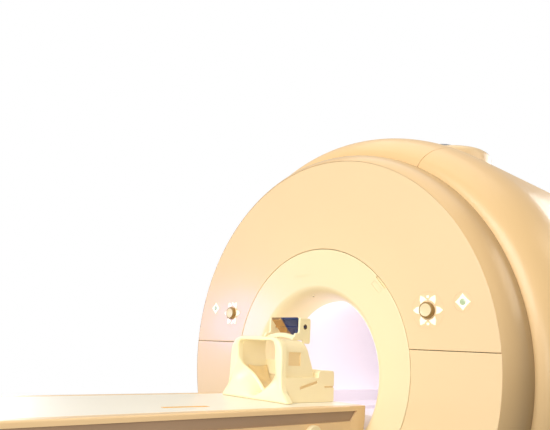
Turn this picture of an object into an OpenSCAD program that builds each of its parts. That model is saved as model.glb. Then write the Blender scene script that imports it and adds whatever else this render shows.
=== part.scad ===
// Whole-body magnetic resonance scanner with its patient table and a head coil.
// Origin: on the floor, straight below the middle of the bore. X is to the right when facing the front,
// Y runs into the bore and Z is up.

/* [Bore] */
// Height of the bore axis above the floor
iso_z = 1000; // [960:5:1040]
// Length of the gantry from the front face to the rear face
gantry_len = 1600; // [1560:10:1760]
// Radius of the patient bore
bore_r = 300; // [296:1:304]
// Wall of the bore tube
liner_t = 6; // [4:0.5:8]
// Radial growth of the flared mouth
flare_a = 55; // [45:1:60]
// Depth of the flared mouth
flare_b = 160; // [140:5:175]
// Wall of the flared mouth
ring_t = 8; // [5:0.5:10]
// Angle at which the aiming light sits in the flare
light_a = 55; // [30:1:65]
// Sideways place of the aiming light
light_x = -17; // [-40:1:40]
// Angle of the access flap on the mouth ring, from the right-hand side up
flap_a = 43; // [38:1:50]

/* [Front disc] */
// Radius of the seam round the mouth ring
ring_r = 479; // [465:1:490]
// How far the mouth ring's centre lies above the bore axis
ring_rise = 28; // [20:1:34]
// Radius of the flat face of the disc
face_r = 820; // [805:1:830]
// Radius of the disc behind its side band
disc_r = 868; // [860:1:876]
// Depth of the side band
band_d = 117; // [100:1:130]
// How far the centre of disc and barrel lies above the bore axis
cover_rise = 70; // [60:1:80]
// Height of the seam between the upper and the lower face panel, above the bore axis
seam_rise = 105; // [90:1:115]
// Wall of the face panels
panel_t = 8; // [5:0.5:10]
// Depth of the stiffening edges behind the panels
edge_d = 32; // [20:1:36]

/* [Barrel] */
// Outer radius of the barrel covers
barrel_r = 1000; // [980:5:1020]
// Length of the rounded shoulder
shoulder_d = 233; // [200:1:245]
// Wall of the barrel covers
shell_t = 6; // [4:0.5:8]
// Half angle of the top cover
top_half = 30; // [24:1:36]
// Half width of the plinth
plinth_w = 556; // [520:2:600]
// Half length of the plinth
plinth_l = 630; // [600:5:640]

/* [Magnet] */
// Radial gap between the barrel covers and the vacuum vessel
vessel_gap = 120; // [116:2:150]
// Half length of the vacuum vessel
vessel_l = 620; // [600:5:630]
// Radius of the warm bore of the vessel
warm_r = 450; // [446:1:470]
// Wall of the vacuum vessel
vessel_t = 12; // [8:1:20]
// Outer radius of the gradient coil
grad_r = 440; // [420:1:444]
// Inner radius of the gradient coil
grad_in = 352; // [345:1:360]
// Radius of the body coil tube
body_r = 324; // [320:1:330]
// Half length of the body coil
body_l = 500; // [440:5:520]
// Distance of the turret behind the middle of the magnet
turret_y = 250; // [200:5:280]
// Radius of the turret's neck
neck_r = 190; // [180:1:200]
// Radius of the turret's hood
hood_r = 240; // [230:1:260]
// Sideways spacing of the floor anchors
anchor_x = 860; // [820:10:900]
// Lengthwise spacing of the floor anchors
anchor_y = 800; // [700:10:860]
// Radius of a floor anchor hole
anchor_r = 11; // [8:0.5:14]
// Radius of the vent pipe's bore
vent_r = 52; // [40:1:56]

/* [Controls] */
// Distance of the turning knobs from the seam round the mouth ring
knob_gap = 114.5; // [110:0.5:118]
// Height of the turning knobs above the bore axis
knob_rise = 242; // [236:1:248]
// Radius of a knob
knob_r = 29; // [24:0.5:31]
// How far a knob stands out
knob_h = 17; // [10:0.5:24]
// Radius of the star of petal keys
star_r = 59.5; // [55:0.5:61]
// Half angle of a petal at its root
petal_a = 24; // [18:1:26]
// Sideways distance of the stop keys from the knobs
stop_gap = 135.8; // [128:0.2:140]
// Height of the stop keys above the bore axis
stop_rise = 268; // [260:1:276]
// Half height of the four-pointed stop key
stop_r = 29; // [24:0.5:30]
// Travel of the keys
key_travel = 1.5; // [0.8:0.1:2]

/* [Table] */
// Height of the tabletop's surface above the floor at the working height
table_z = 896; // [880:2:904]
// Half width of the sliding tabletop
top_w = 250; // [230:1:252]
// Thickness of the sliding tabletop
top_t = 40; // [30:1:44]
// Length of the table
table_len = 2300; // [2200:10:2500]
// Half width of the table over its side rails
rail_w = 290; // [286:1:300]
// Height of the side rails
rail_h = 154; // [145:1:165]
// Lower edge of the side groove below the tabletop's surface
groove_z = 52; // [48:1:56]
// Height of the side groove
groove_h = 35; // [28:1:36]
// Depth of the side groove
groove_d = 9; // [5:0.5:10]
// Length of the end block
block_len = 88; // [70:1:110]
// Gap between the table and the gantry's face
dock_gap = 4; // [3:0.5:8]

/* [Lift] */
// Travel of the lift
lift_travel = 350; // [250:5:350]
// Distance of the column from the front face
column_y = 1150; // [1050:10:1250]
// Half length of the fixed column
column_l = 650; // [550:10:700]
// Half width of the fixed column
column_w = 230; // [200:2:250]
// Wall of the column tubes
column_t = 8; // [5:0.5:8]
// Play between two column tubes
column_gap = 7; // [5:0.5:9]
// Radius of the lift spindle
spindle_r = 26; // [18:1:30]

/* [Drive] */
// Radius of the belt pulleys
pulley_r = 28; // [22:0.5:30]
// Thickness of the belt
belt_t = 2; // [1.2:0.1:3]
// Width of the belt
belt_w = 25; // [15:1:30]
// Sideways place of the belt
belt_x = 120; // [100:2:150]
// Radius of the release knob
release_r = 36; // [28:1:38]

/* [Head coil] */
// Distance of the head coil's front from the tabletop's end
coil_y = 310; // [300:2:420]
// Length of the head coil's base behind its arch
coil_len = 258; // [250:2:280]
// Half width of the head coil
coil_w = 150; // [144:1:160]
// Height of the base
coil_base_h = 88; // [80:1:96]
// Height of the arch
coil_h = 230; // [220:1:240]
// Radius of the room for the head
head_r = 118; // [108:1:122]
// Half width of the mirror
mirror_w = 74; // [60:1:80]

/* [Clearances] */
// Gap at the seams between covers
seam = 2; // [1:0.25:3]
// Seating gap between curved or moving pieces
seat = 0.3; // [0.2:0.05:0.5]
// Radial play of shafts in their holes
play = 0.05; // [0.02:0.01:0.09]
// Play round a key in its hole
key_gap = 0.4; // [0.3:0.05:0.6]

/* [Hidden] */
$fn = 96;
cream = "#f4ead6";
front_y = -gantry_len / 2;
rear_y = gantry_len / 2;
ring_z = iso_z + ring_rise;
cover_z = iso_z + cover_rise;
seam_z = iso_z + seam_rise;
band_y = front_y + band_d;
face_back = front_y + panel_t;
ring_back = front_y + edge_d + panel_t;
mouth_y = front_y + flare_b;
flange_t = 6;
seat_w = 20;
barrel_low = disc_r + 4;
vessel_r = barrel_r - vessel_gap;
knob_x = sqrt(pow(ring_r + knob_gap, 2) - pow(knob_rise - ring_rise, 2));
stop_x = knob_x + stop_gap;
frame_y = band_y + flange_t;
frame_t = 8;
frame_r = barrel_low - 82;
post_r = 14;
// angle from the face plane at which the side band starts
band_a0 = 25;
band_k = (disc_r - face_r) / (1 - sin(band_a0));
band_j = band_d / cos(band_a0);
hub_r = 8;
plate_r = 64;
stop_plate_r = 34;
carrier_t = 14;
key_out = 1.8;
carrier_back = front_y + carrier_t;
key_flange = carrier_back + seat;
top_z = table_z - top_t;
deck_z = top_z - 6;
table_y1 = front_y - dock_gap;
table_y0 = table_y1 - table_len;
beam_w = rail_w - 20;
beam_z = table_z - rail_h;
beam_t = 8;
beam_top = top_z - seat;
col_y = front_y - column_y;
base_t = 30;
tube_h = beam_z - base_t - lift_travel - 10;
stage_z = base_t + 10 + lift_travel / 2;
inner_z = base_t + 15 + lift_travel;
rib_pitch = (table_len - 410) / 7;
pulley_z = beam_z + 78;
pulley_y0 = table_y0 + 110;
pulley_y1 = table_y1 - 160;
release_y = front_y - 291;
release_z = table_z - 91;
coil_y0 = table_y1 - coil_y;
coil_y1 = coil_y0 + 27;
coil_y2 = coil_y1 + coil_len;
coil_z = table_z + seat;
head_z = coil_z + 142;
ramp_l = 33;
mirror_y = coil_y1 + 150;
mirror_z = coil_z + coil_h + 46;

// A solid of revolution about a line along Y at height z, from points of radius and y
module turned(z, pts) {
  translate([0, 0, z]) rotate([-90, 0, 0]) rotate_extrude() polygon(pts);
}

// A round bar along Y
module rod_y(x, z, r, y0, y1) {
  translate([x, y0, z]) rotate([-90, 0, 0]) cylinder(h = y1 - y0, r = r);
}

// A round bar along X
module rod_x(y, z, r, x0, x1) {
  translate([x0, y, z]) rotate([0, 90, 0]) cylinder(h = x1 - x0, r = r);
}

// A flat shape in X and Z, drawn out along Y
module along_y(y0, y1) {
  translate([0, y1, 0]) rotate([90, 0, 0]) linear_extrude(y1 - y0) children();
}

// A flat shape in Y and Z, drawn out along X
module along_x(x0, x1) {
  translate([x0, 0, 0]) rotate([90, 0, 90]) linear_extrude(x1 - x0) children();
}

module box(a, b) {
  translate(a) cube(b - a);
}

module round_rect(w, l, r) {
  square([2 * w, 2 * (l - r)], center = true);
  square([2 * (w - r), 2 * l], center = true);
  for (i = [-1, 1], j = [-1, 1]) translate([i * (w - r), j * (l - r)]) circle(r);
}

// Quarter of an ellipse from radius c + a to c, turning into the bore
function flare(c, a, b, y0, s) =
  [for (t = [0:7.5:90]) [c + a - a * sin(t), y0 + s * b * (1 - cos(t))]];

// Curve of the side band, from the face to the widest point
function band(k, j, a0, a1, y0, s) =
  [for (i = [0:12]) let (t = a0 + (a1 - a0) * i / 12)
    [disc_r - band_k + k * sin(t), y0 - s * j * cos(t)]];

// Outline of the barrel in radius and y, smaller by w
function barrel_line(w) = concat(
  [for (t = [0:7.5:90]) [barrel_low + (barrel_r - w - barrel_low) * sin(t),
    band_y + w + (shoulder_d - w) * (1 - cos(t))]],
  [for (t = [90:-7.5:0]) [barrel_low + (barrel_r - w - barrel_low) * sin(t),
    -band_y - w - (shoulder_d - w) * (1 - cos(t))]]
);

module barrel_solid(w) {
  turned(cover_z, concat([[0, band_y + w]], barrel_line(w), [[0, -band_y - w]]));
}

module barrel_shell() {
  turned(cover_z, concat(
    [[barrel_low - 22, band_y]],
    barrel_line(0),
    [[barrel_low - 22, -band_y], [barrel_low - 22, -band_y - flange_t]],
    [for (i = [len(barrel_line(shell_t)) - 1:-1:0]) barrel_line(shell_t)[i]],
    [[barrel_low - 22, band_y + flange_t]]
  ));
}

// Wedge from angle a to angle b seen from the front, b less than a + 180
module wedge(a, b, g) {
  along_y(front_y - 10, rear_y + 10) translate([0, cover_z])
    translate([g * cos((a + b) / 2), g * sin((a + b) / 2)])
      polygon([[0, 0], 2200 * [cos(a), sin(a)], 2200 * [cos((a + b) / 2), sin((a + b) / 2)],
        2200 * [cos(b), sin(b)]]);
}

module side_cover(s) {
  difference() {
    intersection() {
      barrel_shell();
      mirror([s < 0 ? 1 : 0, 0, 0]) union() {
        wedge(-90, 20, seam);
        wedge(-20, 90 - top_half, seam);
      }
    }
    box([-plinth_w + 12, -plinth_l + 12, -barrel_r], [plinth_w - 12, plinth_l - 12, iso_z - 300]);
    translate([s > 0 ? -20 : -1, front_y, 0]) cube([21, gantry_len, iso_z]);
  }
  // stiffening rib inside the cover
  difference() {
    intersection() {
      turned(cover_z, [[barrel_r - 30, -5], [barrel_r - shell_t, -5], [barrel_r - shell_t, 5],
        [barrel_r - 30, 5]]);
      mirror([s < 0 ? 1 : 0, 0, 0]) wedge(-50, 90 - top_half - 4, 0);
    }
    box([-plinth_w + 12, -plinth_l, -barrel_r], [plinth_w - 12, plinth_l, iso_z - 300]);
  }
}

module barrel_left() { color(cream) side_cover(-1); }
module barrel_right() { color(cream) side_cover(1); }

module barrel_top() {
  color(cream) difference() {
    intersection() {
      barrel_shell();
      wedge(90 - top_half, 90 + top_half, seam);
    }
    translate([0, turret_y, cover_z]) cylinder(h = 2 * barrel_r, r = neck_r + 15);
  }
}

// Mouth ring: flat collar, flared mouth and a rim that seats behind the face panels
module mouth(s) {
  y0 = s * front_y;
  pts = concat(
    [[bore_r + flare_a, y0 * 1]],
    [for (p = flare(bore_r, flare_a, flare_b, 0, 1)) [p[0], s * (front_y + p[1])]],
    [[bore_r + ring_t, s * mouth_y]],
    [for (i = [12:-1:0]) let (p = flare(bore_r + ring_t, flare_a - ring_t, flare_b - ring_t, ring_t, 1)[i])
      [p[0], s * (front_y + p[1])]]
  );
  turned(iso_z, pts);
  difference() {
    union() {
      rod_y(0, ring_z, ring_r, min(y0, y0 + s * ring_t), max(y0, y0 + s * ring_t));
      difference() {
        rod_y(0, ring_z, ring_r, min(y0, s * ring_back), max(y0, s * ring_back));
        rod_y(0, ring_z, ring_r - flange_t, -2000, 2000);
      }
      rod_y(0, ring_z, ring_r + 10, min(s * ring_back, s * (ring_back + 5)),
        max(s * ring_back, s * (ring_back + 5)));
    }
    rod_y(0, iso_z, bore_r + flare_a - 0.01, -2000, 2000);
    rod_y(0, ring_z, ring_r - 14, min(s * (front_y + ring_t), s * 0), max(s * (front_y + ring_t), s * 0));
  }
}

module front_ring() {
  color(cream) difference() {
    mouth(1);
    // dimple of the aiming light's window in the flared mouth
    translate([light_x, front_y + flare_b * (1 - cos(light_a)), iso_z + bore_r + flare_a * (1 - sin(light_a))])
      sphere(r = 5);
    // access flap and finger gap beside the seam, upper right
    translate([0, 0, ring_z]) rotate([0, -flap_a, 0])
      box([ring_r - 41, front_y - 1, -27], [ring_r - 19, front_y + 1.2, 27]);
    translate([0, 0, ring_z]) rotate([0, -flap_a, 0])
      box([ring_r - 9, front_y - 1, -34], [ring_r + 1, front_y + 3, 30]);
  }
}

module rear_ring() {
  color(cream) mouth(-1);
}

// Face panels between the mouth ring and the side band
module face_plate() {
  difference() {
    union() {
      rod_y(0, cover_z, face_r - 1, front_y, face_back);
      difference() {
        rod_y(0, ring_z, ring_r + seam + flange_t, front_y, ring_back);
        rod_y(0, ring_z, ring_r + seam - 1, front_y - 1, ring_back + 1);
      }
    }
    rod_y(0, ring_z, ring_r + seam, front_y - 1, ring_back + 1);
    for (s = [-1, 1]) {
      rod_y(s * knob_x, iso_z + knob_rise, plate_r + seat, front_y - 1, face_back + 1);
      rod_y(s * stop_x, iso_z + stop_rise, stop_plate_r + seat, front_y - 1, face_back + 1);
    }
  }
}

module seam_rib(s, z0) {
  box([min(s * (ring_r + 12), s * (face_r - 30)), face_back - 1, z0],
    [max(s * (ring_r + 12), s * (face_r - 30)), face_back + 22, z0 + flange_t]);
}

module front_upper() {
  color(cream) union() {
    intersection() {
      face_plate();
      box([-1000, front_y - 5, seam_z + seam / 2], [1000, 0, 2200]);
    }
    for (s = [-1, 1]) seam_rib(s, seam_z + seam / 2);
  }
}

module front_lower() {
  color(cream) union() {
    intersection() {
      face_plate();
      box([-1000, front_y - 5, 0], [1000, 0, seam_z - seam / 2]);
    }
    for (s = [-1, 1]) seam_rib(s, seam_z - seam / 2 - flange_t);
  }
}

// Side band of the disc, with a seat for the panels in front and one for the barrel behind
module rim(s) {
  a1 = acos((face_back + flange_t - band_y) / -(band_j - flange_t));
  a2 = acos(flange_t / (band_j - flange_t));
  pts = concat(
    [for (p = band(band_k, band_j, band_a0, 90, band_y, 1)) p],
    [[disc_r - 28, band_y], [disc_r - 28, band_y - flange_t]],
    [for (i = [12:-1:0]) band(band_k - flange_t, band_j - flange_t, a1, a2, band_y, 1)[i]],
    [[face_r - seat_w, face_back + flange_t], [face_r - seat_w, face_back], [face_r, face_back]]
  );
  turned(cover_z, [for (p = pts) [p[0], s * p[1]]]);
}

module front_rim() {
  color(cream) rim(1);
}

module rear_cover() {
  color(cream) union() {
    rim(-1);
    difference() {
      rod_y(0, cover_z, face_r + 0.5, -face_back, rear_y);
      rod_y(0, ring_z, ring_r + seam, -face_back - 1, rear_y + 1);
      // air outlet slots below the mouth
      for (i = [-5:5]) box([-260, rear_y - 20, 330 + i * 16 - 4], [260, rear_y + 1, 330 + i * 16 + 4]);
    }
    difference() {
      rod_y(0, ring_z, ring_r + seam + flange_t, -ring_back, rear_y);
      rod_y(0, ring_z, ring_r + seam, -ring_back - 1, rear_y + 1);
    }
  }
}

module plinth() {
  color("#8d8a86") difference() {
    along_z_tube(plinth_w, plinth_l, 8, 40, 0, cover_z - barrel_r / 2);
    barrel_solid(-1);
    box([-162, -plinth_l - 10, -1], [162, -plinth_l + 20, base_t + 2]);
  }
}

module along_z_tube(w, l, t, r, z0, z1) {
  translate([0, 0, z0]) linear_extrude(z1 - z0) difference() {
    round_rect(w, l, r);
    round_rect(w - t, l - t, max(r - t, 1));
  }
}

// Frame that carries the covers at both ends of the magnet
module cover_frame() {
  color("silver") for (s = [-1, 1]) {
    difference() {
      rod_y(0, cover_z, barrel_low - 14, min(s * frame_y, s * (frame_y + frame_t)),
        max(s * frame_y, s * (frame_y + frame_t)));
      rod_y(0, cover_z, frame_r - 24, -2000, 2000);
      for (i = [0:7]) rod_y(frame_r * 1.02 * cos(45 * i), cover_z + frame_r * 1.02 * sin(45 * i), 20, -2000, 2000);
    }
    for (i = [0:7]) rod_y(frame_r * cos(22.5 + 45 * i), cover_z + frame_r * sin(22.5 + 45 * i), post_r,
      min(s * (frame_y + frame_t - 1), -s * vessel_l), max(s * (frame_y + frame_t - 1), -s * vessel_l));
  }
}

module magnet_vessel() {
  color("#c9ccce") difference() {
    turned(iso_z, [[warm_r, -vessel_l], [vessel_r - 10, -vessel_l], [vessel_r, -vessel_l + 10],
      [vessel_r, vessel_l - 10], [vessel_r - 10, vessel_l], [warm_r, vessel_l]]);
    turned(iso_z, [[warm_r + vessel_t, -vessel_l + vessel_t], [vessel_r - vessel_t, -vessel_l + vessel_t],
      [vessel_r - vessel_t, vessel_l - vessel_t], [warm_r + vessel_t, vessel_l - vessel_t]]);
  }
}

// Superconducting windings on their former, hung in the vessel by struts
module cold_mass() {
  color("#b6b0a4") union() {
    turned(iso_z, [[warm_r + 60, -vessel_l + 70], [vessel_r - 240, -vessel_l + 70], [vessel_r - 240, -vessel_l + 250],
      [vessel_r - 290, -vessel_l + 250], [vessel_r - 290, vessel_l - 250], [vessel_r - 240, vessel_l - 250],
      [vessel_r - 240, vessel_l - 70], [warm_r + 60, vessel_l - 70]]);
    for (s = [-1, 1], a = [45:90:315]) translate([0, s * (vessel_l - 160), iso_z]) rotate([0, -a, 0])
      translate([vessel_r - 250, 0, 0]) rotate([0, 90, 0]) cylinder(h = 250 - vessel_t - seat, r = 12);
  }
}

module gradient_coil() {
  color("#7a6a4e") union() {
    turned(iso_z, [[grad_in, -vessel_l + 20], [grad_r - 14, -vessel_l + 20], [grad_r - 14, -vessel_l + 60],
      [grad_r, -vessel_l + 60], [grad_r, vessel_l - 60], [grad_r - 14, vessel_l - 60],
      [grad_r - 14, vessel_l - 20], [grad_in, vessel_l - 20]]);
    for (s = [-1, 1]) turned(iso_z, [[grad_r - 1, s * 400 - 20], [warm_r - seat, s * 400 - 20],
      [warm_r - seat, s * 400 + 20], [grad_r - 1, s * 400 + 20]]);
  }
}

// Birdcage body coil: tube, end conductors, rungs and the rings that carry the bore tube
module body_coil() {
  color("#c98f5a") union() {
    turned(iso_z, [[body_r - 8, -body_l], [body_r, -body_l], [body_r, body_l], [body_r - 8, body_l]]);
    for (s = [-1, 1]) {
      // ring that carries the bore tube, and the conductor at the end of the rungs
      y = s * (body_l + 10);
      c = s * (body_l / 2 + 10);
      turned(iso_z, [[bore_r + liner_t + seat, y - 12], [grad_in - seat, y - 12],
        [grad_in - seat, y + 12], [bore_r + liner_t + seat, y + 12]]);
      turned(iso_z, [[body_r - 1, c - 14], [body_r + 4, c - 14], [body_r + 4, c + 14], [body_r - 1, c + 14]]);
    }
    for (i = [0:15]) translate([0, 0, iso_z]) rotate([0, 22.5 * i, 0])
      box([body_r - 1, -body_l / 2, -9], [body_r + 3, body_l / 2, 9]);
  }
}

module bore_liner() {
  color("#efe9f6") turned(iso_z, [[bore_r, mouth_y], [bore_r + liner_t, mouth_y],
    [bore_r + liner_t, -mouth_y], [bore_r, -mouth_y]]);
}

// Deck and side rails that carry the tabletop through the bore
module bore_bridge() {
  color("#e6e2ee") intersection() {
    rod_y(0, iso_z, bore_r - seat, mouth_y - 60, -mouth_y + 60);
    along_y(mouth_y - 60, -mouth_y + 60) difference() {
      translate([-bore_r, iso_z - bore_r]) square([2 * bore_r, table_z + 4 - iso_z + bore_r]);
      translate([-top_w - 5, deck_z]) square([2 * (top_w + 5), 200]);
      translate([-60, deck_z - 14]) square([120, 20]);
      translate([-150, iso_z - bore_r + 52]) square([300, deck_z - 40 - iso_z + bore_r - 52]);
    }
  }
}

// Saddles, rails and anchor pads under the magnet
module magnet_base() {
  color("#6f7276") difference() {
    union() {
      for (s = [-1, 1]) {
        box([s * anchor_x / 2 - 55, -anchor_y / 2 - 90, 0], [s * anchor_x / 2 + 55, anchor_y / 2 + 90, 30]);
        box([-anchor_x / 2 - 50, s * (anchor_y / 2 - 60) - 45, 30], [anchor_x / 2 + 50, s * (anchor_y / 2 - 60) + 45, 400]);
        box([-anchor_x / 2, s * (anchor_y / 2 + 60) - 30, 0], [anchor_x / 2, s * (anchor_y / 2 + 60) + 30, 30]);
      }
    }
    rod_y(0, iso_z, vessel_r + seat, -2000, 2000);
    for (i = [-1, 1], j = [-1, 1])
      translate([i * anchor_x / 2, j * anchor_y / 2, -1]) cylinder(h = 60, r = anchor_r);
    for (s = [-1, 1]) translate([0, s * (anchor_y / 2 - 60), 40]) cube([360, 200, 60], center = true);
  }
}

// Neck on the magnet with the vent pipe and the cooler head
module turret() {
  color("#c9ccce") translate([0, turret_y, 0]) difference() {
    union() {
      translate([0, 0, iso_z + vessel_r - 40]) cylinder(h = 190, r = neck_r);
      translate([-70, 40, iso_z + vessel_r + 140]) cylinder(h = 250, r = vent_r + 6);
      translate([-70, 40, iso_z + vessel_r + 374]) cylinder(h = 16, r = vent_r + 58);
      translate([90, -40, iso_z + vessel_r + 140]) cylinder(h = 110, r = 60);
      translate([90, -40, iso_z + vessel_r + 250]) cylinder(h = 14, r = 72);
    }
    translate([-70, 40, iso_z + vessel_r + 100]) cylinder(h = 400, r = vent_r);
    for (a = [45:90:315]) translate([-70 + (vent_r + 38) * cos(a), 40 + (vent_r + 38) * sin(a), iso_z + vessel_r + 300])
      cylinder(h = 120, r = 7);
    translate([0, -turret_y, iso_z]) rotate([-90, 0, 0]) cylinder(h = 900, r = vessel_r + seat, center = true);
  }
}

// Round cap over the turret with a rounded upper edge, smaller by w
module hood_solid(w) {
  translate([0, turret_y, cover_z]) rotate_extrude() polygon(concat(
    [[0, barrel_r - 200 - w], [hood_r - w, barrel_r - 200 - w]],
    [for (t = [0:15:90]) [hood_r - 40 + (40 - w) * cos(t), barrel_r + 90 + (40 - w) * sin(t)]],
    [[0, barrel_r + 130 - w]]
  ));
}

module turret_hood() {
  color(cream) difference() {
    hood_solid(0);
    hood_solid(shell_t);
    rod_y(0, cover_z, barrel_r + seat, -2000, 2000);
    translate([-70, turret_y + 40, cover_z]) cylinder(h = 2 * barrel_r, r = vent_r + 10);
  }
}

// Outline of a petal key lying along +X, grown by c on all sides
function petal(c) = concat(
  [for (a = [-petal_a:petal_a / 4:petal_a]) (knob_r + 6 - c) * [cos(a * (1 + c / 14)), sin(a * (1 + c / 14))]],
  [[knob_r + 18, 10.4 + c], [star_r - 3, 3.2 + c], [star_r - 0.6 + c, 1.4 + c * 0.5],
    [star_r - 0.6 + c, -1.4 - c * 0.5], [star_r - 3, -3.2 - c], [knob_r + 18, -10.4 - c]]
);

// Outline of the four-pointed stop key, grown by c
function star4(c) = [for (i = [0:31]) let (a = i * 11.25, w = pow(abs(cos(2 * a)), 1.6))
  (stop_r * 0.52 + (stop_r * 0.48) * w + c) * [cos(a), sin(a)]];

module carrier(s) {
  difference() {
    union() {
      rod_y(s * knob_x, iso_z + knob_rise, plate_r, front_y, face_back + 1);
      rod_y(s * stop_x, iso_z + stop_rise, stop_plate_r, front_y, face_back + 1);
      rod_y(s * knob_x, iso_z + knob_rise, plate_r + 12, face_back, carrier_back);
      rod_y(s * stop_x, iso_z + stop_rise, stop_plate_r + 10, face_back, carrier_back);
      along_y(face_back, carrier_back) translate([s * knob_x, iso_z + knob_rise])
        rotate(s > 0 ? atan2(stop_rise - knob_rise, stop_x - knob_x) : 180 - atan2(stop_rise - knob_rise, stop_x - knob_x))
          translate([0, -30]) square([stop_x - knob_x, 60]);
    }
    rod_y(s * knob_x, iso_z + knob_rise, hub_r + play, front_y - 1, carrier_back + 1);
    for (i = [0:5]) along_y(front_y - 1, carrier_back + 1) translate([s * knob_x, iso_z + knob_rise])
      rotate(60 * i) polygon(petal(key_gap));
    along_y(front_y - 1, carrier_back + 1) translate([s * stop_x, iso_z + stop_rise]) polygon(star4(key_gap));
  }
}

module carrier_left() { color(cream) carrier(-1); }
module carrier_right() { color(cream) carrier(1); }

module knob(s) {
  translate([s * knob_x, 0, iso_z + knob_rise]) {
    rotate([-90, 0, 0]) rotate_extrude() polygon(concat(
      [[0, front_y - knob_h + 2], [knob_r - 11, front_y - knob_h + 2], [knob_r - 9, front_y - knob_h]],
      [for (t = [0:15:90]) [knob_r - 5 + 4 * sin(t), front_y - knob_h + 4 - 4 * cos(t)]],
      [[knob_r, front_y - 2.5], [knob_r - 1.5, front_y - seat], [hub_r, front_y - seat],
        [hub_r, key_flange], [hub_r + 5, key_flange], [hub_r + 5, key_flange + 4], [0, key_flange + 4]]
    ));
  }
}

module knob_left() { color("#e4dccb") knob(-1); }
module knob_right() { color("#e4dccb") knob(1); }

module petal_key(s, i) {
  translate([s * knob_x, 0, iso_z + knob_rise]) {
    along_y(front_y - key_out, key_flange + 1) rotate(60 * i) polygon(petal(0));
    along_y(key_flange, key_flange + 3) rotate(60 * i) polygon(petal(1.2));
  }
}

module stop_key(s) {
  translate([s * stop_x, 0, iso_z + stop_rise]) {
    along_y(front_y - key_out, key_flange + 1) polygon(star4(0));
    along_y(key_flange, key_flange + 3) polygon(star4(2));
    rod_y(0, 0, 12.5, front_y - key_out - 1.2, front_y);
  }
}

module stop_left() { color("white") stop_key(-1); }
module stop_right() { color("white") stop_key(1); }

// Floor plate with anchor holes and the tongue that ties the table to the magnet's base
module table_base() {
  color("#6f7276") difference() {
    union() {
      translate([0, col_y, 0]) linear_extrude(base_t) round_rect(column_w + 50, column_l + 50, 40);
      box([-150, col_y, 0], [150, -anchor_y / 2 - 90, base_t]);
    }
    for (i = [-1, 1], j = [-1, 1])
      translate([i * (column_w + 24), col_y + j * (column_l + 10), -1]) cylinder(h = 60, r = 7);
  }
}

module tube(w, l, r, z0, h) {
  translate([0, col_y, z0]) linear_extrude(h) difference() {
    round_rect(w, l, r);
    round_rect(w - column_t, l - column_t, r - column_t);
  }
}

module column_fixed() {
  color("#d9d4ca") tube(column_w, column_l, 60, base_t, tube_h);
}

module column_stage() {
  color("#c6c2ba") union() {
    tube(column_w - column_t - column_gap, column_l - column_t - column_gap, 50, stage_z, tube_h - 5);
    // wear pads that run in the fixed tube
    for (s = [-1, 1], j = [-1, 1]) translate([s * (column_w - column_t - column_gap), col_y + j * (column_l - 130), stage_z + 6])
      translate([s > 0 ? -1 : -column_gap + seat, -40, 0]) cube([column_gap + 1 - seat, 80, 40]);
  }
}

module column_inner() {
  w = column_w - 2 * (column_t + column_gap);
  l = column_l - 2 * (column_t + column_gap);
  color("#d9d4ca") union() {
    tube(w, l, 42, inner_z, beam_z - inner_z);
    for (s = [-1, 1], j = [-1, 1]) translate([s * w, col_y + j * (l - 130), inner_z + 6])
      translate([s > 0 ? -1 : -column_gap + seat, -40, 0]) cube([column_gap + 1 - seat, 80, 40]);
    // nut tube on the lift spindle, tied to the tube by webs
    difference() {
      union() {
        translate([0, col_y, inner_z]) cylinder(h = beam_z - inner_z, r = spindle_r + 16);
        box([-w + 1, col_y - 6, beam_z - 120], [w - 1, col_y + 6, beam_z]);
      }
      translate([0, col_y, inner_z - 1]) cylinder(h = 2000, r = spindle_r + seat);
    }
  }
}

module lift_spindle() {
  color("#9aa0a4") union() {
    translate([0, col_y, base_t]) cylinder(h = inner_z + 30 - base_t, r = spindle_r);
    translate([0, col_y, base_t]) cylinder(h = 12, r = spindle_r + 14);
  }
}

// Trough of the table with its guide rails, cross members and idler bracket
module table_beam() {
  color("#b9bcbd") difference() {
    union() {
      along_y(table_y0 + 30, table_y1 - block_len) union() {
        translate([-beam_w, beam_z]) square([2 * beam_w, beam_t]);
        for (s = [-1, 1]) {
          translate([s > 0 ? beam_w - beam_t : -beam_w, beam_z]) square([beam_t, beam_top - beam_z - 4]);
          translate([s * 200 - 20, beam_top - 30]) square([40, 30]);
          translate([s * 200 - 5, beam_z]) square([10, beam_top - beam_z - 20]);
        }
      }
      for (s = [-1, 1]) box([belt_x + s * 30 - 5, pulley_y1 - 30, beam_z], [belt_x + s * 30 + 5, pulley_y1 + 30, pulley_z + 14]);
    }
    translate([0, col_y, beam_z - 1]) cylinder(h = 20, r = spindle_r + 6);
    rod_x(pulley_y1, pulley_z, 6 + play, belt_x - 60, belt_x + 60);
    rod_x(release_y, release_z, hub_r + play, beam_w - 30, beam_w + 30);
  }
}

// Section of a side rail, with its lip and the long groove
function rail_points() = [
  [top_w + 2, table_z - 10], [top_w + 2, table_z - 1.5], [top_w + 3.5, table_z],
  [rail_w - 6, table_z], [rail_w - 2, table_z - 1.2], [rail_w, table_z - 4],
  [rail_w, beam_z + 26], [rail_w - 2.5, beam_z + 14], [rail_w - 9, beam_z + 4], [rail_w - 16, beam_z],
  [beam_w, beam_z], [beam_w, beam_z + 5], [rail_w - 15, beam_z + 9], [rail_w - 13, beam_z + 12],
  [rail_w - 13, table_z - 10]
];

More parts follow.
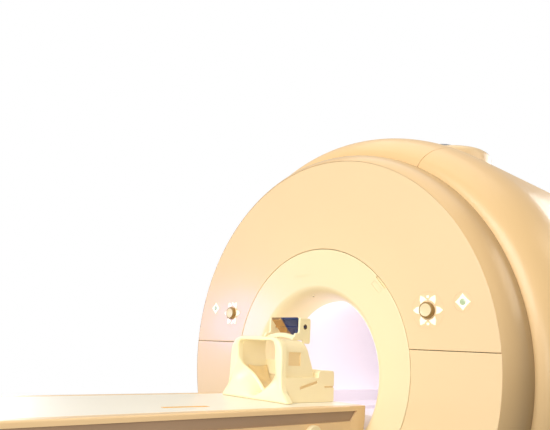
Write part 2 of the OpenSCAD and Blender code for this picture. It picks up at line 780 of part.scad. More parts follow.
module side_rail(s) {
  y1 = table_y1 - block_len;
  difference() {
    union() {
      along_y(table_y0 + 30, y1) mirror([s < 0 ? 1 : 0, 0]) polygon(rail_points());
      // ribs that seat on the trough
      for (i = [0:7]) box([s > 0 ? beam_w : -rail_w + 12, table_y0 + 160 + i * rib_pitch, beam_z + 6],
        [s > 0 ? rail_w - 12 : -beam_w, table_y0 + 168 + i * rib_pitch, beam_top - 8]);
      rod_x(release_y, release_z, hub_r + 12, s > 0 ? beam_w : -rail_w + 10, s > 0 ? rail_w - 10 : -beam_w);
    }
    // the groove, with a slanted end toward the bore
    along_x(s > 0 ? rail_w - groove_d : -rail_w - 5, s > 0 ? rail_w + 5 : -rail_w + groove_d)
      polygon([[table_y0 + 120, table_z - groove_z], [y1 - 6, table_z - groove_z],
        [y1 + 15 - 6, table_z - groove_z + groove_h], [table_y0 + 120 + 20, table_z - groove_z + groove_h]]);
    if (s > 0) rod_x(release_y, release_z, hub_r + play, beam_w - 10, rail_w + 10);
  }
}

module side_left() { color("#e3d3b5") side_rail(-1); }
module side_right() { color("#e3d3b5") side_rail(1); }

// End block toward the bore, with bevelled corners
module end_block() {
  y0 = table_y1 - block_len;
  color("#ead9ba") difference() {
    along_x(-rail_w, rail_w) polygon([[y0, beam_z], [table_y1 - 8, beam_z], [table_y1, beam_z + 8],
      [table_y1, table_z - 2], [table_y1 - 2, table_z], [y0, table_z]]);
    along_y(y0 - 1, table_y1 + 1) translate([-top_w - 2, top_z - 3]) square([2 * top_w + 4, 100]);
    for (s = [-1, 1]) translate([s * rail_w, table_y1, beam_z - 1]) rotate([s > 0 ? 2 : 2, 0, s > 0 ? 45 : -45])
      translate([-9, -9, 0]) cube([18, 18, 400]);
    along_y(y0 - 1, table_y1 - 40) translate([-beam_w + 20, beam_z + 10]) square([2 * beam_w - 40, top_z - beam_z - 25]);
  }
}

module tail_block() {
  y1 = table_y0 + 30;
  color("#ead9ba") difference() {
    union() {
      translate([0, 0, beam_z]) linear_extrude(rail_h) intersection() {
        translate([0, y1]) round_rect(rail_w, 46, 38);
        translate([-rail_w, table_y0 - 60]) square([2 * rail_w, y1 - table_y0 + 60]);
      }
    }
    box([-top_w - 2, table_y0 - 2, top_z - 3], [top_w + 2, y1 + 1, table_z + 10]);
    box([-beam_w + 20, y1 - 10, beam_z + 10], [beam_w - 20, y1 + 1, top_z - 15]);
  }
}

// Sliding tabletop: flat deck, shallow dished middle, hollow underside between two runners
module tabletop() {
  color("#f7f1e4") difference() {
    union() {
      along_y(table_y0, table_y1) polygon([[-top_w, table_z - 14], [-top_w, table_z - 2], [-top_w + 2, table_z],
        [top_w - 2, table_z], [top_w, table_z - 2], [top_w, table_z - 14], [top_w - 12, top_z + 4],
        [top_w - 18, top_z], [-top_w + 18, top_z], [-top_w + 12, top_z + 4]]);
      // clamp that holds the belt
      box([belt_x - 16, table_y0 + 190, pulley_z + pulley_r + belt_t + seat], [belt_x + 16, table_y0 + 250, top_z + 4]);
    }
    along_y(table_y0 + 60, table_y1 - 40) polygon([[80 - top_w, top_z - 1], [100 - top_w, top_z + top_t / 2],
      [belt_x - 60, top_z + top_t / 2], [belt_x - 60, top_z - 1]]);
  }
}

module pulley(y) {
  rod_x(y, pulley_z, pulley_r, belt_x - 14, belt_x + 14);
  for (s = [-1, 1]) rod_x(y, pulley_z, pulley_r + 5, s > 0 ? belt_x + 14 : belt_x - 17, s > 0 ? belt_x + 17 : belt_x - 14);
}

module drive_pulley() {
  color("#55585c") union() {
    pulley(pulley_y0);
    rod_x(pulley_y0, pulley_z, 8, belt_x - 60, belt_x + 17);
  }
}

module idler_pulley() {
  color("#55585c") union() {
    pulley(pulley_y1);
    rod_x(pulley_y1, pulley_z, 6, belt_x - 34, belt_x + 34);
  }
}

module belt() {
  r = pulley_r + seat;
  color("#2c2c2e") along_x(belt_x - belt_w / 2, belt_x + belt_w / 2) difference() {
    union() {
      for (y = [pulley_y0, pulley_y1]) translate([y, pulley_z]) circle(r + belt_t);
      translate([pulley_y0, pulley_z - r - belt_t]) square([pulley_y1 - pulley_y0, 2 * (r + belt_t)]);
    }
    for (y = [pulley_y0, pulley_y1]) translate([y, pulley_z]) circle(r);
    translate([pulley_y0, pulley_z - r]) square([pulley_y1 - pulley_y0, 2 * r]);
  }
}

module motor() {
  color("#3c3f44") difference() {
    union() {
      rod_x(pulley_y0, pulley_z, 33, -110, belt_x - 40);
      rod_x(pulley_y0, pulley_z, 26, -150, -110);
      box([-70, pulley_y0 - 34, beam_z + beam_t], [50, pulley_y0 + 34, pulley_z - 20]);
    }
    rod_x(pulley_y0, pulley_z, 8 + play, belt_x - 70, belt_x);
  }
}

module release_knob() {
  color("#cfc5b0") translate([0, release_y, release_z]) rotate([0, 90, 0]) rotate_extrude() polygon(concat(
    [[0, beam_w - 12], [hub_r, beam_w - 12], [hub_r, rail_w + seat], [release_r - 1, rail_w + seat],
      [release_r, rail_w + 1.5]],
    [for (t = [0:15:90]) [release_r - 4 + 4 * cos(t), rail_w + 14 + 4 * sin(t)]],
    [[release_r - 14, rail_w + 18], [release_r - 17, rail_w + 15], [0, rail_w + 15]]
  ));
}

// Base of the head coil: stepped block with a round trough and side slots
module coil_base() {
  color("#efe2c4") difference() {
    along_x(-coil_w, coil_w) polygon([[coil_y1, coil_z], [coil_y2 - 4, coil_z], [coil_y2, coil_z + 4],
      [coil_y2, coil_z + coil_base_h + 20], [coil_y2 - 7, coil_z + coil_base_h + 27],
      [coil_y2 - 78, coil_z + coil_base_h + 27], [coil_y2 - 86, coil_z + coil_base_h + 18],
      [coil_y2 - 88, coil_z + coil_base_h], [coil_y1, coil_z + coil_base_h]]);
    rod_y(0, head_z, head_r, coil_y1 - 1, coil_y2 - 30);
    for (s = [-1, 1]) {
      translate([s * coil_w, coil_y2 - 140, coil_z + 62]) rotate([14, 0, 0]) cube([14, 92, 9], center = true);
      translate([s * coil_w, coil_y2 - 24, coil_z + 55]) cube([10, 60, 5], center = true);
    }
  }
}

// Upper housing with a sloping back and a recessed grip on each side
module coil_shell() {
  z0 = coil_z + coil_base_h;
  w = coil_w - 16;
  color("#f3e6c8") difference() {
    intersection() {
      along_x(-w, w) polygon([[coil_y1, z0], [coil_y1 + 158, z0], [coil_y1 + 150, z0 + 34], [coil_y1 + 128, z0 + 84],
        [coil_y1 + 112, z0 + coil_h - coil_base_h - 14], [coil_y1 + 96, z0 + coil_h - coil_base_h - 6],
        [coil_y1, z0 + coil_h - coil_base_h - 6]]);
      along_y(coil_y1 - 1, coil_y2) union() {
        translate([-w, z0]) square([2 * w, 84]);
        translate([-w + 46, z0]) square([2 * w - 92, coil_h - coil_base_h - 6]);
        for (s = [-1, 1]) translate([s * (w - 46), z0 + coil_h - coil_base_h - 6 - 46]) circle(46);
      }
    }
    rod_y(0, head_z, head_r, coil_y1 - 1, coil_y1 + 140);
    for (s = [-1, 1]) box([s > 0 ? w - 6 : -w - 1, coil_y1 + 24, z0 + 42], [s > 0 ? w + 1 : -w + 6, coil_y1 + 86, z0 + 90]);
    // sight window toward the mirror
    box([-62, coil_y1 + 30, z0 + 60], [62, coil_y1 + 104, z0 + 400]);
  }
}

// Broad loop at the open end: flared feet, rounded shoulders, the neck opening and a neck ramp in the trough
module coil_arch() {
  color("#fff8e8") union() {
    arch_loop();
    along_y(coil_y1 - 1, coil_y1 + ramp_l) difference() {
      translate([0, head_z]) circle(head_r - seat);
      translate([0, coil_z]) polygon([[0, 32], [61, 92], [99, 131], [99, 400], [-99, 400], [-99, 131], [-61, 92]]);
      translate([-400, head_z]) square([800, 400]);
    }
  }
}

module arch_loop() {
  along_y(coil_y0, coil_y1) difference() {
    union() {
      translate([-coil_w + 2, coil_z]) square([2 * coil_w - 4, coil_h - 60]);
      translate([-coil_w + 62, coil_z]) square([2 * coil_w - 124, coil_h]);
      for (s = [-1, 1]) translate([s * (coil_w - 62), coil_z + coil_h - 60]) circle(60);
      difference() {
        translate([-coil_w - 38, coil_z]) square([2 * coil_w + 76, 46]);
        for (s = [-1, 1]) translate([s * (coil_w + 42), coil_z + 48]) circle(44);
      }
    }
    translate([0, coil_z]) polygon([[-92, coil_h - 14], [92, coil_h - 14], [106, coil_h - 28], [106, 131],
      [96, 78], [60, 34], [0, 14], [-60, 34], [-96, 78], [-106, 131], [-106, coil_h - 28]]);
  }
}

// Headrest pad in the trough
module coil_cushion() {
  color("#4a5568") along_y(coil_y1 + ramp_l + 3, coil_y1 + 136) translate([0, head_z]) difference() {
    circle(head_r - seat);
    circle(head_r - 20);
    polygon([[-400, -20], [-400, 400], [400, 400], [400, -20]]);
  }
}

// Mirror holder: curved saddle on the housing, two arms and pivot eyes
module mirror_frame() {
  z0 = coil_z + coil_h - 6;
  color("#fbf6ea") difference() {
    union() {
      along_y(mirror_y - 46, mirror_y - 30) difference() {
        translate([-mirror_w - 16, z0]) square([2 * mirror_w + 32, 22]);
        translate([0, z0 + 150]) circle(140);
      }
      for (s = [-1, 1]) {
        box([s * (mirror_w + 11) - 5, mirror_y - 66, z0], [s * (mirror_w + 11) + 5, mirror_y - 20, z0 + 10]);
        along_x(s * (mirror_w + 11) - 4, s * (mirror_w + 11) + 4) union() {
          polygon([[mirror_y - 60, z0], [mirror_y - 24, z0], [mirror_y + 13, mirror_z], [mirror_y - 13, mirror_z + 4]]);
          translate([mirror_y, mirror_z]) circle(14);
        }
      }
    }
    rod_x(mirror_y, mirror_z, 4 + play, -200, 200);
  }
}

module mirror_glass() {
  color("#aab8c8") translate([0, mirror_y, mirror_z]) union() {
    rotate([-45, 0, 0]) box([-mirror_w, -46, -2], [mirror_w, 46, 4]);
    rod_x(0, 0, 4, -mirror_w - 15, mirror_w + 15);
  }
}

magnet_vessel();
cold_mass();
gradient_coil();
body_coil();
bore_liner();
bore_bridge();
front_ring();
front_upper();
front_lower();
front_rim();
barrel_left();
barrel_right();
barrel_top();
rear_ring();
rear_cover();
plinth();
magnet_base();
turret();
turret_hood();
cover_frame();
carrier_left();
carrier_right();
knob_left();
knob_right();
stop_left();
stop_right();
for (i = [1:6]) color("white") petal_key(-1, i - 1);
for (i = [1:6]) color("white") petal_key(1, i - 1);
table_base();
column_fixed();
column_stage();
column_inner();
lift_spindle();
table_beam();
side_left();
side_right();
end_block();
tail_block();
tabletop();
drive_pulley();
idler_pulley();
belt();
motor();
release_knob();
coil_base();
coil_shell();
coil_arch();
coil_cushion();
mirror_frame();
mirror_glass();
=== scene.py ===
"""Whole-body magnetic resonance scanner: covers, bore, controls, table and head coil round the model."""

import math
from types import SimpleNamespace

import bmesh
import bpy
from mathutils import Matrix, Vector


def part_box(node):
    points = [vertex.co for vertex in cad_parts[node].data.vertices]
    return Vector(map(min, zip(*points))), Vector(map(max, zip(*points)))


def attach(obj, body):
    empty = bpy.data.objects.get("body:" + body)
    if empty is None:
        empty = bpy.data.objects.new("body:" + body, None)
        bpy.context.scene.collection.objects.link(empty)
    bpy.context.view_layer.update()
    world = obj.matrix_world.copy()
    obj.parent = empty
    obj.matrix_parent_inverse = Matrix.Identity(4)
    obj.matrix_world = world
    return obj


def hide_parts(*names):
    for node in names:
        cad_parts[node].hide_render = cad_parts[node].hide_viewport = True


bl_info = {
    "name": "MRI Scanner",
    "version": (1, 0, 0),
    "blender": (4, 5, 0),
    "location": "View3D > Sidebar > Scanner",
    "description": "Builds the finished covers, bore, controls, table and head coil of an MRI scanner",
    "category": "Object",
}

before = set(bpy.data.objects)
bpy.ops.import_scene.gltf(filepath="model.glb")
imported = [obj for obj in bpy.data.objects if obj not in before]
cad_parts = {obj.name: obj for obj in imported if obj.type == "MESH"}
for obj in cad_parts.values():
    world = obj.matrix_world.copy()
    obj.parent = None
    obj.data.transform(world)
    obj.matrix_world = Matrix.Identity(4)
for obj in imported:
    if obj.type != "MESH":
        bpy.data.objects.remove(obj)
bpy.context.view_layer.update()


def tone(red, green, blue):
    """Scene-linear colour of a tone given from 0 to 255."""
    share = [v / 255 for v in (red, green, blue)]
    return tuple(v / 12.92 if v <= 0.04045 else ((v + 0.055) / 1.055) ** 2.4 for v in share)


def length(name, description, default, low, high):
    """A size in metres for the panel."""
    return bpy.props.FloatProperty(
        name=name, description=description, default=default, min=low, max=high, unit="LENGTH", precision=4
    )


def colour(name, description, *rgb):
    """A colour for the panel."""
    return bpy.props.FloatVectorProperty(
        name=name, description=description, default=tone(*rgb), size=3, min=0.0, max=1.0, subtype="COLOR"
    )


class ScannerSizes(bpy.types.PropertyGroup):
    """Sizes that the finished pieces add to the model's own."""

    bore_wall: length("Bore wall", "Wall of the bore tube", 0.006, 0.004, 0.008)
    flare_width: length("Flare width", "Radial growth of the flared mouth", 0.055, 0.045, 0.060)
    flare_depth: length("Flare depth", "Depth of the flared mouth", 0.160, 0.140, 0.175)
    ring_wall: length("Ring wall", "Wall of the mouth rings", 0.008, 0.005, 0.010)
    seam: length("Seam", "Gap between two covers", 0.002, 0.001, 0.003)
    seam_round: length("Seam rounding", "Rounded edge of the covers along their seams", 0.0022, 0.001, 0.004)
    face_radius: length("Face radius", "Radius of the flat face", 0.820, 0.805, 0.830)
    panel_wall: length("Panel wall", "Wall of the face panels", 0.008, 0.005, 0.010)
    cover_wall: length("Cover wall", "Wall of the side band and the barrel covers", 0.006, 0.004, 0.008)
    shoulder: length("Shoulder", "Length of the barrel's rounded shoulder", 0.233, 0.200, 0.245)
    screw_radius: length("Screw radius", "Radius of a cover screw's head", 0.006, 0.004, 0.010)
    bolt_radius: length("Bolt radius", "Radius of a floor anchor's head", 0.015, 0.010, 0.020)


class ScannerColours(bpy.types.PropertyGroup):
    """Colours of the finished pieces."""

    cover: colour("Covers", "Moulded covers", 248, 218, 170)
    # Painted shade: the side band's colour is darker than the covers' because the band curves away from the
    # light
    band: colour("Side bands", "Curved band round the disc", 236, 198, 142)
    barrel: colour("Barrel", "Covers of the barrel", 248, 209, 150)
    mouth: colour("Mouth rings", "Rings round the bore", 250, 232, 186)
    bore: colour("Bore", "Lining of the bore", 236, 230, 234)
    # Painted light: colour that the bore lining and its bridge give off, though neither is a lamp
    glow: colour("Bore light", "Light that the lining gives off", 246, 236, 246)
    deck: colour("Tabletop", "Sliding tabletop", 250, 244, 226)
    rail: colour("Side rails", "Side rails and end blocks of the table", 236, 202, 152)
    groove: colour("Groove", "Floor of the side grooves", 168, 140, 112)
    coil: colour("Head coil", "Base and housing of the head coil", 254, 240, 198)
    arch: colour("Coil arch", "Loop at the open end of the head coil", 254, 242, 198)
    knob: colour("Knobs", "Turning knobs", 244, 226, 182)
    key: colour("Keys", "Backlit keys", 252, 247, 222)
    lens: colour("Lens", "Round lens of the stop keys", 184, 202, 158)
    glass: colour("Mirror", "Glass of the tilting mirror", 40, 66, 140)
    pad: colour("Pad", "Cover of the headrest pad", 244, 214, 150)
    plinth: colour("Plinth", "Plinth and floor strips", 128, 120, 110)
    column: colour("Column", "Telescopic column of the table", 240, 222, 186)
    strip: colour("Index strip", "Index strip on the tabletop", 240, 178, 20)


def sizes():
    """Sizes set in the panel."""
    return bpy.context.scene.scanner_sizes


def colours():
    """Colours set in the panel."""
    return bpy.context.scene.scanner_colours


def middle(node):
    """Middle of a node's box."""
    low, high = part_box(node)
    return (low + high) / 2


def plan():
    """Places that the pieces share, read off the model and the panel's sizes."""
    s = sizes()
    liner, ring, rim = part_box("bore_liner"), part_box("front_ring"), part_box("front_rim")
    p = SimpleNamespace()
    p.front, p.rear = ring[0].y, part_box("rear_ring")[1].y
    p.iso_z = middle("bore_liner").z
    p.bore = liner[1].x - s.bore_wall
    p.mouth = liner[1].y
    p.flare = p.bore + s.flare_width
    p.ring_flange = 0.010
    p.ring = ring[1].x - p.ring_flange
    p.ring_z = middle("front_ring").z
    p.ring_back = 0.040
    p.face = s.face_radius
    p.disc = rim[1].x
    p.cover_z = middle("front_rim").z
    p.band = rim[1].y - p.front
    p.band_start = math.radians(25)
    p.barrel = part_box("barrel_right")[1].x
    p.barrel_low = p.disc + 0.004
    p.barrel_y = -rim[1].y
    p.seam_z = (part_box("front_lower")[1].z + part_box("front_upper")[0].z) / 2
    p.knob = {-1: middle("knob_left"), 1: middle("knob_right")}
    p.stop = {-1: middle("stop_left"), 1: middle("stop_right")}
    return p


# Mesh helpers


def link(obj):
    """Adds an object to the scene."""
    bpy.context.scene.collection.objects.link(obj)
    return obj


def evaluated(obj):
    """Plain mesh of an object with its modifiers applied."""
    graph = bpy.context.evaluated_depsgraph_get()
    shown = obj.evaluated_get(graph)
    return bpy.data.meshes.new_from_object(shown, preserve_all_data_layers=True, depsgraph=graph)


def flatten(obj):
    """Applies an object's modifiers to its mesh."""
    mesh = evaluated(obj)
    obj.modifiers.clear()
    obj.data = mesh
    return obj


def clean(mesh):
    """Merges doubles and turns the faces outwards."""
    bm = bmesh.new()
    bm.from_mesh(mesh)
    bmesh.ops.remove_doubles(bm, verts=bm.verts, dist=5e-6)
    bmesh.ops.recalc_face_normals(bm, faces=bm.faces)
    bm.to_mesh(mesh)
    bm.free()


def piece(name, verts, faces):
    """New mesh object from corners and faces."""
    mesh = bpy.data.meshes.new(name)
    mesh.from_pydata(verts, [], faces)
    clean(mesh)
    return link(bpy.data.objects.new(name, mesh))


def smooth(obj, angle=32):
    """Smooth shading that keeps flat faces flat and edges sharper than the angle."""
    obj.data.shade_smooth()
    obj.data.set_sharp_from_angle(angle=math.radians(angle))
    even = obj.modifiers.new("even", "WEIGHTED_NORMAL")
    even.keep_sharp = True
    even.weight = 70
    return flatten(obj)


def soften(obj, edge, steps=3, angle=35):
    """Rounds the edges sharper than the angle."""
    bevel = obj.modifiers.new("soft", "BEVEL")
    bevel.width = edge
    bevel.segments = steps
    bevel.limit_method = "ANGLE"
    bevel.angle_limit = math.radians(angle)
    bevel.use_clamp_overlap = True
    return flatten(obj)


def cut(obj, *tools):
    """Cuts the tools out of an object and removes them."""
    for tool in tools:
        change = obj.modifiers.new("cut", "BOOLEAN")
        change.operation = "DIFFERENCE"
        change.solver = "EXACT"
        change.object = tool
    flatten(obj)
    for tool in tools:
        bpy.data.objects.remove(tool)
    return obj


def joined(name, *parts):
    """One object from several, without materials."""
    bm = bmesh.new()
    for part in parts:
        bm.from_mesh(part.data)
    mesh = bpy.data.meshes.new(name)
    bm.to_mesh(mesh)
    bm.free()
    for part in parts:
        bpy.data.objects.remove(part)
    return link(bpy.data.objects.new(name, mesh))


def arc(x, y, radius, start, end, steps):
    """Points on an arc, from one angle to another in degrees."""
    turn = [math.radians(start + (end - start) * i / steps) for i in range(steps + 1)]
    return [(x + radius * math.cos(t), y + radius * math.sin(t)) for t in turn]


def box_outline(low_u, low_v, high_u, high_v):
    """Corners of a rectangle."""
    return [(low_u, low_v), (high_u, low_v), (high_u, high_v), (low_u, high_v)]


def rounded(points, radius, steps=5):
    """Closed outline with its corners turned into arcs; radius is one number, or one for each corner."""
    count = len(points)
    radii = radius if isinstance(radius, (list, tuple)) else [radius] * count
    result = []
    for i, corner in enumerate(points):
        here = Vector(corner)
        back, ahead = Vector(points[i - 1]) - here, Vector(points[(i + 1) % count]) - here
        half = back.angle(ahead) / 2 if back.length and ahead.length else math.pi / 2
        if radii[i] <= 0 or half > math.radians(88):
            result.append(tuple(here))
            continue
        reach = min(radii[i] / math.tan(half), 0.49 * back.length, 0.49 * ahead.length)
        size = reach * math.tan(half)
        start, end = here + back.normalized() * reach, here + ahead.normalized() * reach
        centre = here + (back.normalized() + ahead.normalized()).normalized() * (size / math.sin(half))
        for step in range(steps + 1):
            mix = start.lerp(end, step / steps) - centre
            result.append(tuple(centre + mix.normalized() * size))
    return result


def row_faces(rows, size, closed=True, wrapped=True):
    """Faces between rows of corners; closed joins the last row to the first, wrapped each row's ends."""
    faces = []
    for i in range(rows if closed else rows - 1):
        a, b = i * size, ((i + 1) % rows) * size
        across = size if wrapped else size - 1
        faces += [(a + j, a + (j + 1) % size, b + (j + 1) % size, b + j) for j in range(across)]
    return faces


def revolve(name, section, centre, span=(0.0, 360.0), steps=192):
    """Turns a closed section of (radius, y) about a line along Y, whose height may depend on the radius."""
    height = centre if callable(centre) else (lambda radius: centre)
    whole = span[1] - span[0] >= 360
    rows, size = (steps if whole else steps + 1), len(section)
    verts = []
    for i in range(rows):
        turn = math.radians(span[0] + (span[1] - span[0]) * i / steps)
        for radius, y in section:
            verts.append((radius * math.cos(turn), y, height(radius) + radius * math.sin(turn)))
    faces = row_faces(rows, size, closed=whole)
    if not whole:
        faces += [tuple(range(size)), tuple(range((rows - 1) * size, rows * size))]
    return piece(name, verts, faces)


def placed(axis, low):
    """Matrix that lays a shape drawn in two dimensions across X, Y or Z, from low upwards."""
    rows = {
        "X": ((0, 0, 1, low), (1, 0, 0, 0), (0, 1, 0, 0)),
        "Y": ((1, 0, 0, 0), (0, 0, 1, low), (0, 1, 0, 0)),
        "Z": ((1, 0, 0, 0), (0, 1, 0, 0), (0, 0, 1, low)),
    }
    return Matrix(rows[axis] + ((0, 0, 0, 1),))


def slab(name, outlines, axis, low, high, edge=0.002, rounds=2):
    """Flat shape with holes, drawn out along an axis, with its rims rounded."""
    curve = bpy.data.curves.new(name, "CURVE")
    curve.dimensions = "2D"
    curve.fill_mode = "BOTH"
    for points in outlines:
        spline = curve.splines.new("POLY")
        spline.points.add(len(points) - 1)
        for point, (u, v) in zip(spline.points, points):
            point.co = (u, v, 0, 1)
        spline.use_cyclic_u = True
    curve.extrude = (high - low) / 2 - edge
    curve.bevel_depth = edge
    curve.bevel_resolution = rounds
    curve.offset = -edge
    drawn = link(bpy.data.objects.new(name + "_drawn", curve))
    mesh = evaluated(drawn)
    bpy.data.objects.remove(drawn)
    mesh.transform(placed(axis, (low + high) / 2))
    clean(mesh)
    return link(bpy.data.objects.new(name, mesh))


def block(name, low, high):
    """Plain box, used as a cutting tool."""
    mesh = bpy.data.meshes.new(name)
    bm = bmesh.new()
    bmesh.ops.create_cube(bm, size=1.0)
    bm.to_mesh(mesh)
    bm.free()
    low, high = Vector(low), Vector(high)
    mesh.transform(Matrix.Translation((low + high) / 2) @ Matrix.Diagonal((*(high - low), 1)))
    return link(bpy.data.objects.new(name, mesh))


def bar(name, start, end, radius, steps=48):
    """Plain round bar between two points."""
    start, end = Vector(start), Vector(end)
    mesh = bpy.data.meshes.new(name)
    bm = bmesh.new()
    bmesh.ops.create_cone(
        bm, cap_ends=True, segments=steps, radius1=radius, radius2=radius, depth=(end - start).length
    )
    bm.to_mesh(mesh)
    bm.free()
    turn = (end - start).to_track_quat("Z", "Y").to_matrix().to_4x4()
    mesh.transform(Matrix.Translation((start + end) / 2) @ turn)
    return link(bpy.data.objects.new(name, mesh))


def refined(name, node, edge=0.0, steps=3):
    """Merged copy of a node's mesh with its edges rounded."""
    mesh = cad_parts[node].data.copy()
    mesh.name = name
    mesh.materials.clear()
    bm = bmesh.new()
    bm.from_mesh(mesh)
    bmesh.ops.remove_doubles(bm, verts=bm.verts, dist=5e-6)
    bmesh.ops.dissolve_limit(bm, angle_limit=math.radians(0.4), verts=bm.verts, edges=bm.edges)
    bmesh.ops.recalc_face_normals(bm, faces=bm.faces)
    bm.to_mesh(mesh)
    bm.free()
    obj = link(bpy.data.objects.new(name, mesh))
    if edge:
        soften(obj, edge, steps)
    return obj


def turned_about(obj, axis, degrees, z):
    """Turns a mesh about a line through a height in the middle."""
    there = Matrix.Translation((0, 0, z))
    obj.data.transform(there @ Matrix.Rotation(math.radians(degrees), 4, axis) @ there.inverted())
    return obj


def dress(obj, body, slot, *finishes, nodes=()):
    """Gives a finished piece its materials, its body, its slot and the nodes that it stands for."""
    if not obj.data.materials:
        coat(obj, *finishes)
    if nodes:
        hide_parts(*nodes)
    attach(obj, body)
    return obj


def coat(obj, *names):
    """Adds finishes to a piece, in the order of its faces' indices."""
    for name in names:
        obj.data.materials.append(finish(name))
    return obj


def tint_faces(obj, test):
    """Gives the faces whose middle passes the test the object's second material."""
    for face in obj.data.polygons:
        if test(face.center):
            face.material_index = 1
    return obj


def skin(name, node, body, slot, finish_name, edge=0.0, steps=3):
    """Dressed copy of a node with its edges rounded."""
    return dress(smooth(refined(name, node, edge, steps)), body, slot, finish_name, nodes=[node])


# Shared shader groups


def feed(tree, socket, value):
    """Links a socket to another one, or sets its value."""
    if isinstance(value, bpy.types.NodeSocket):
        tree.links.new(value, socket)
    elif value is not None:
        socket.default_value = value


def fill(tree, node, inputs):
    """Feeds a node's inputs, whose names may have underscores for spaces."""
    for label, value in inputs.items():
        feed(tree, node.inputs[label.replace("_", " ")], value)
    return node


def add(tree, kind, **inputs):
    """New node with values or links for its inputs."""
    return fill(tree, tree.nodes.new(kind), inputs)


def operated(tree, kind, operation, values):
    """Outputs of a node that works on its inputs in order."""
    node = tree.nodes.new(kind)
    node.operation = operation
    for socket, value in zip(node.inputs, values):
        feed(tree, socket, value)
    return node.outputs


def mathed(tree, operation, *values):
    """Result of a Math node."""
    return operated(tree, "ShaderNodeMath", operation, values)["Value"]


def vectored(tree, operation, *values):
    """Result of a Vector Math node."""
    results = operated(tree, "ShaderNodeVectorMath", operation, values)
    return results["Value" if operation == "LENGTH" else "Vector"]


def ranged(tree, value, low, high, to_low=0.0, to_high=1.0):
    """Value brought from one range to another, with soft ends."""
    node = tree.nodes.new("ShaderNodeMapRange")
    node.interpolation_type = "SMOOTHSTEP"
    for socket, given in zip(node.inputs, (value, low, high, to_low, to_high)):
        feed(tree, socket, given)
    return node.outputs[0]


def mixed(tree, share, first, second):
    """Mix of two colours."""
    node = tree.nodes.new("ShaderNodeMix")
    node.data_type = "RGBA"
    for socket, value in zip((node.inputs[0], node.inputs[6], node.inputs[7]), (share, first, second)):
        feed(tree, socket, value)
    return node.outputs[2]


def noise(tree, place, scale, detail, roughness=0.5):
    """Value of a noise at a place."""
    return add(
        tree, "ShaderNodeTexNoise", Vector=place, Scale=scale, Detail=detail, Roughness=roughness
    ).outputs[0]


def swing(tree, cloud, reach, base):
    """Value that swings about a base as a noise leaves its middle."""
    return mathed(tree, "MULTIPLY_ADD", ranged(tree, cloud, 0.3, 0.7, -1.0, 1.0), reach, base)


def node_group(name, inputs, outputs):
    """Empty shader group with named inputs and outputs: its tree, what it is given and its end node."""
    tree = bpy.data.node_groups.new(name, "ShaderNodeTree")
    for label, kind, value in inputs:
        socket = tree.interface.new_socket(label, in_out="INPUT", socket_type="NodeSocket" + kind)
        if value is not None:
            socket.default_value = value
    for label, kind in outputs:
        tree.interface.new_socket(label, in_out="OUTPUT", socket_type="NodeSocket" + kind)
    return tree, tree.nodes.new("NodeGroupInput").outputs, tree.nodes.new("NodeGroupOutput")


def grain_group(name):
    """Moulded grain: fine pits over a broad unevenness, as a height."""
    tree, given, end = node_group(
        name,
        [("Vector", "Vector", None), ("Scale", "Float", 900.0), ("Waviness", "Float", 0.3)],
        [("Height", "Float"), ("Mask", "Float")],
    )
    fine = noise(tree, given["Vector"], given["Scale"], 2.0)
    broad = noise(tree, given["Vector"], 3.5, 1.0)
    wave = mathed(tree, "MULTIPLY", broad, given["Waviness"])
    fill(tree, end, {"Height": mathed(tree, "ADD", fine, wave), "Mask": broad})
    return tree


def drift_group(name):
    """Slow drift of a colour's brightness and of the gloss over a surface."""
    tree, given, end = node_group(
        name,
        [
            ("Vector", "Vector", None),
            ("Color", "Color", (0.8, 0.8, 0.8, 1)),
            ("Scale", "Float", 4.0),
            ("Drift", "Float", 0.04),
            ("Gloss", "Float", 0.35),
            ("Gloss Drift", "Float", 0.06),
        ],
        [("Color", "Color"), ("Roughness", "Float")],
    )
    level = swing(tree, noise(tree, given["Vector"], given["Scale"], 1.0), given["Drift"], 1.0)
    toned = add(tree, "ShaderNodeHueSaturation", Hue=0.5, Saturation=1.0, Fac=1.0, Value=level,
                Color=given["Color"])
    gloss = swing(tree, noise(tree, given["Vector"], 14.0, 6.0), given["Gloss Drift"], given["Gloss"])
    fill(tree, end, {"Color": toned.outputs[0], "Roughness": gloss})
    return tree


def dust_group(name):
    """Dust and scuffs that gather toward the floor and fade out at a height."""
    tree, given, end = node_group(
        name,
        [
            ("Vector", "Vector", None),
            ("Color", "Color", (0.8, 0.8, 0.8, 1)),
            ("Dust", "Color", (0.35, 0.31, 0.26, 1)),
            ("Top", "Float", 0.5),
            ("Amount", "Float", 0.3),
        ],
        [("Color", "Color"), ("Mask", "Float")],
    )
    place = add(tree, "ShaderNodeSeparateXYZ", Vector=given["Vector"])
    near = ranged(tree, mathed(tree, "DIVIDE", place.outputs["Z"], given["Top"]), 0.0, 1.0, 1.0, 0.0)
    spots = ranged(tree, noise(tree, given["Vector"], 9.0, 8.0, 0.65), 0.35, 0.7)
    mask = mathed(tree, "MULTIPLY", mathed(tree, "MULTIPLY", near, spots), given["Amount"])
    fill(tree, end, {"Color": mixed(tree, mask, given["Color"], given["Dust"]), "Mask": mask})
    return tree


def brush_group(name):
    """Brushed or turned metal: streaks along one direction, as a height and a gloss."""
    tree, given, end = node_group(
        name,
        [
            ("Vector", "Vector", None),
            ("Stretch", "Vector", (300.0, 4.0, 300.0)),
            ("Gloss", "Float", 0.3),
            ("Gloss Drift", "Float", 0.1),
        ],
        [("Height", "Float"), ("Roughness", "Float")],
    )
    streak = noise(tree, vectored(tree, "MULTIPLY", given["Vector"], given["Stretch"]), 1.0, 3.0)
    gloss = swing(tree, streak, given["Gloss Drift"], given["Gloss"])
    fill(tree, end, {"Height": streak, "Roughness": gloss})
    return tree


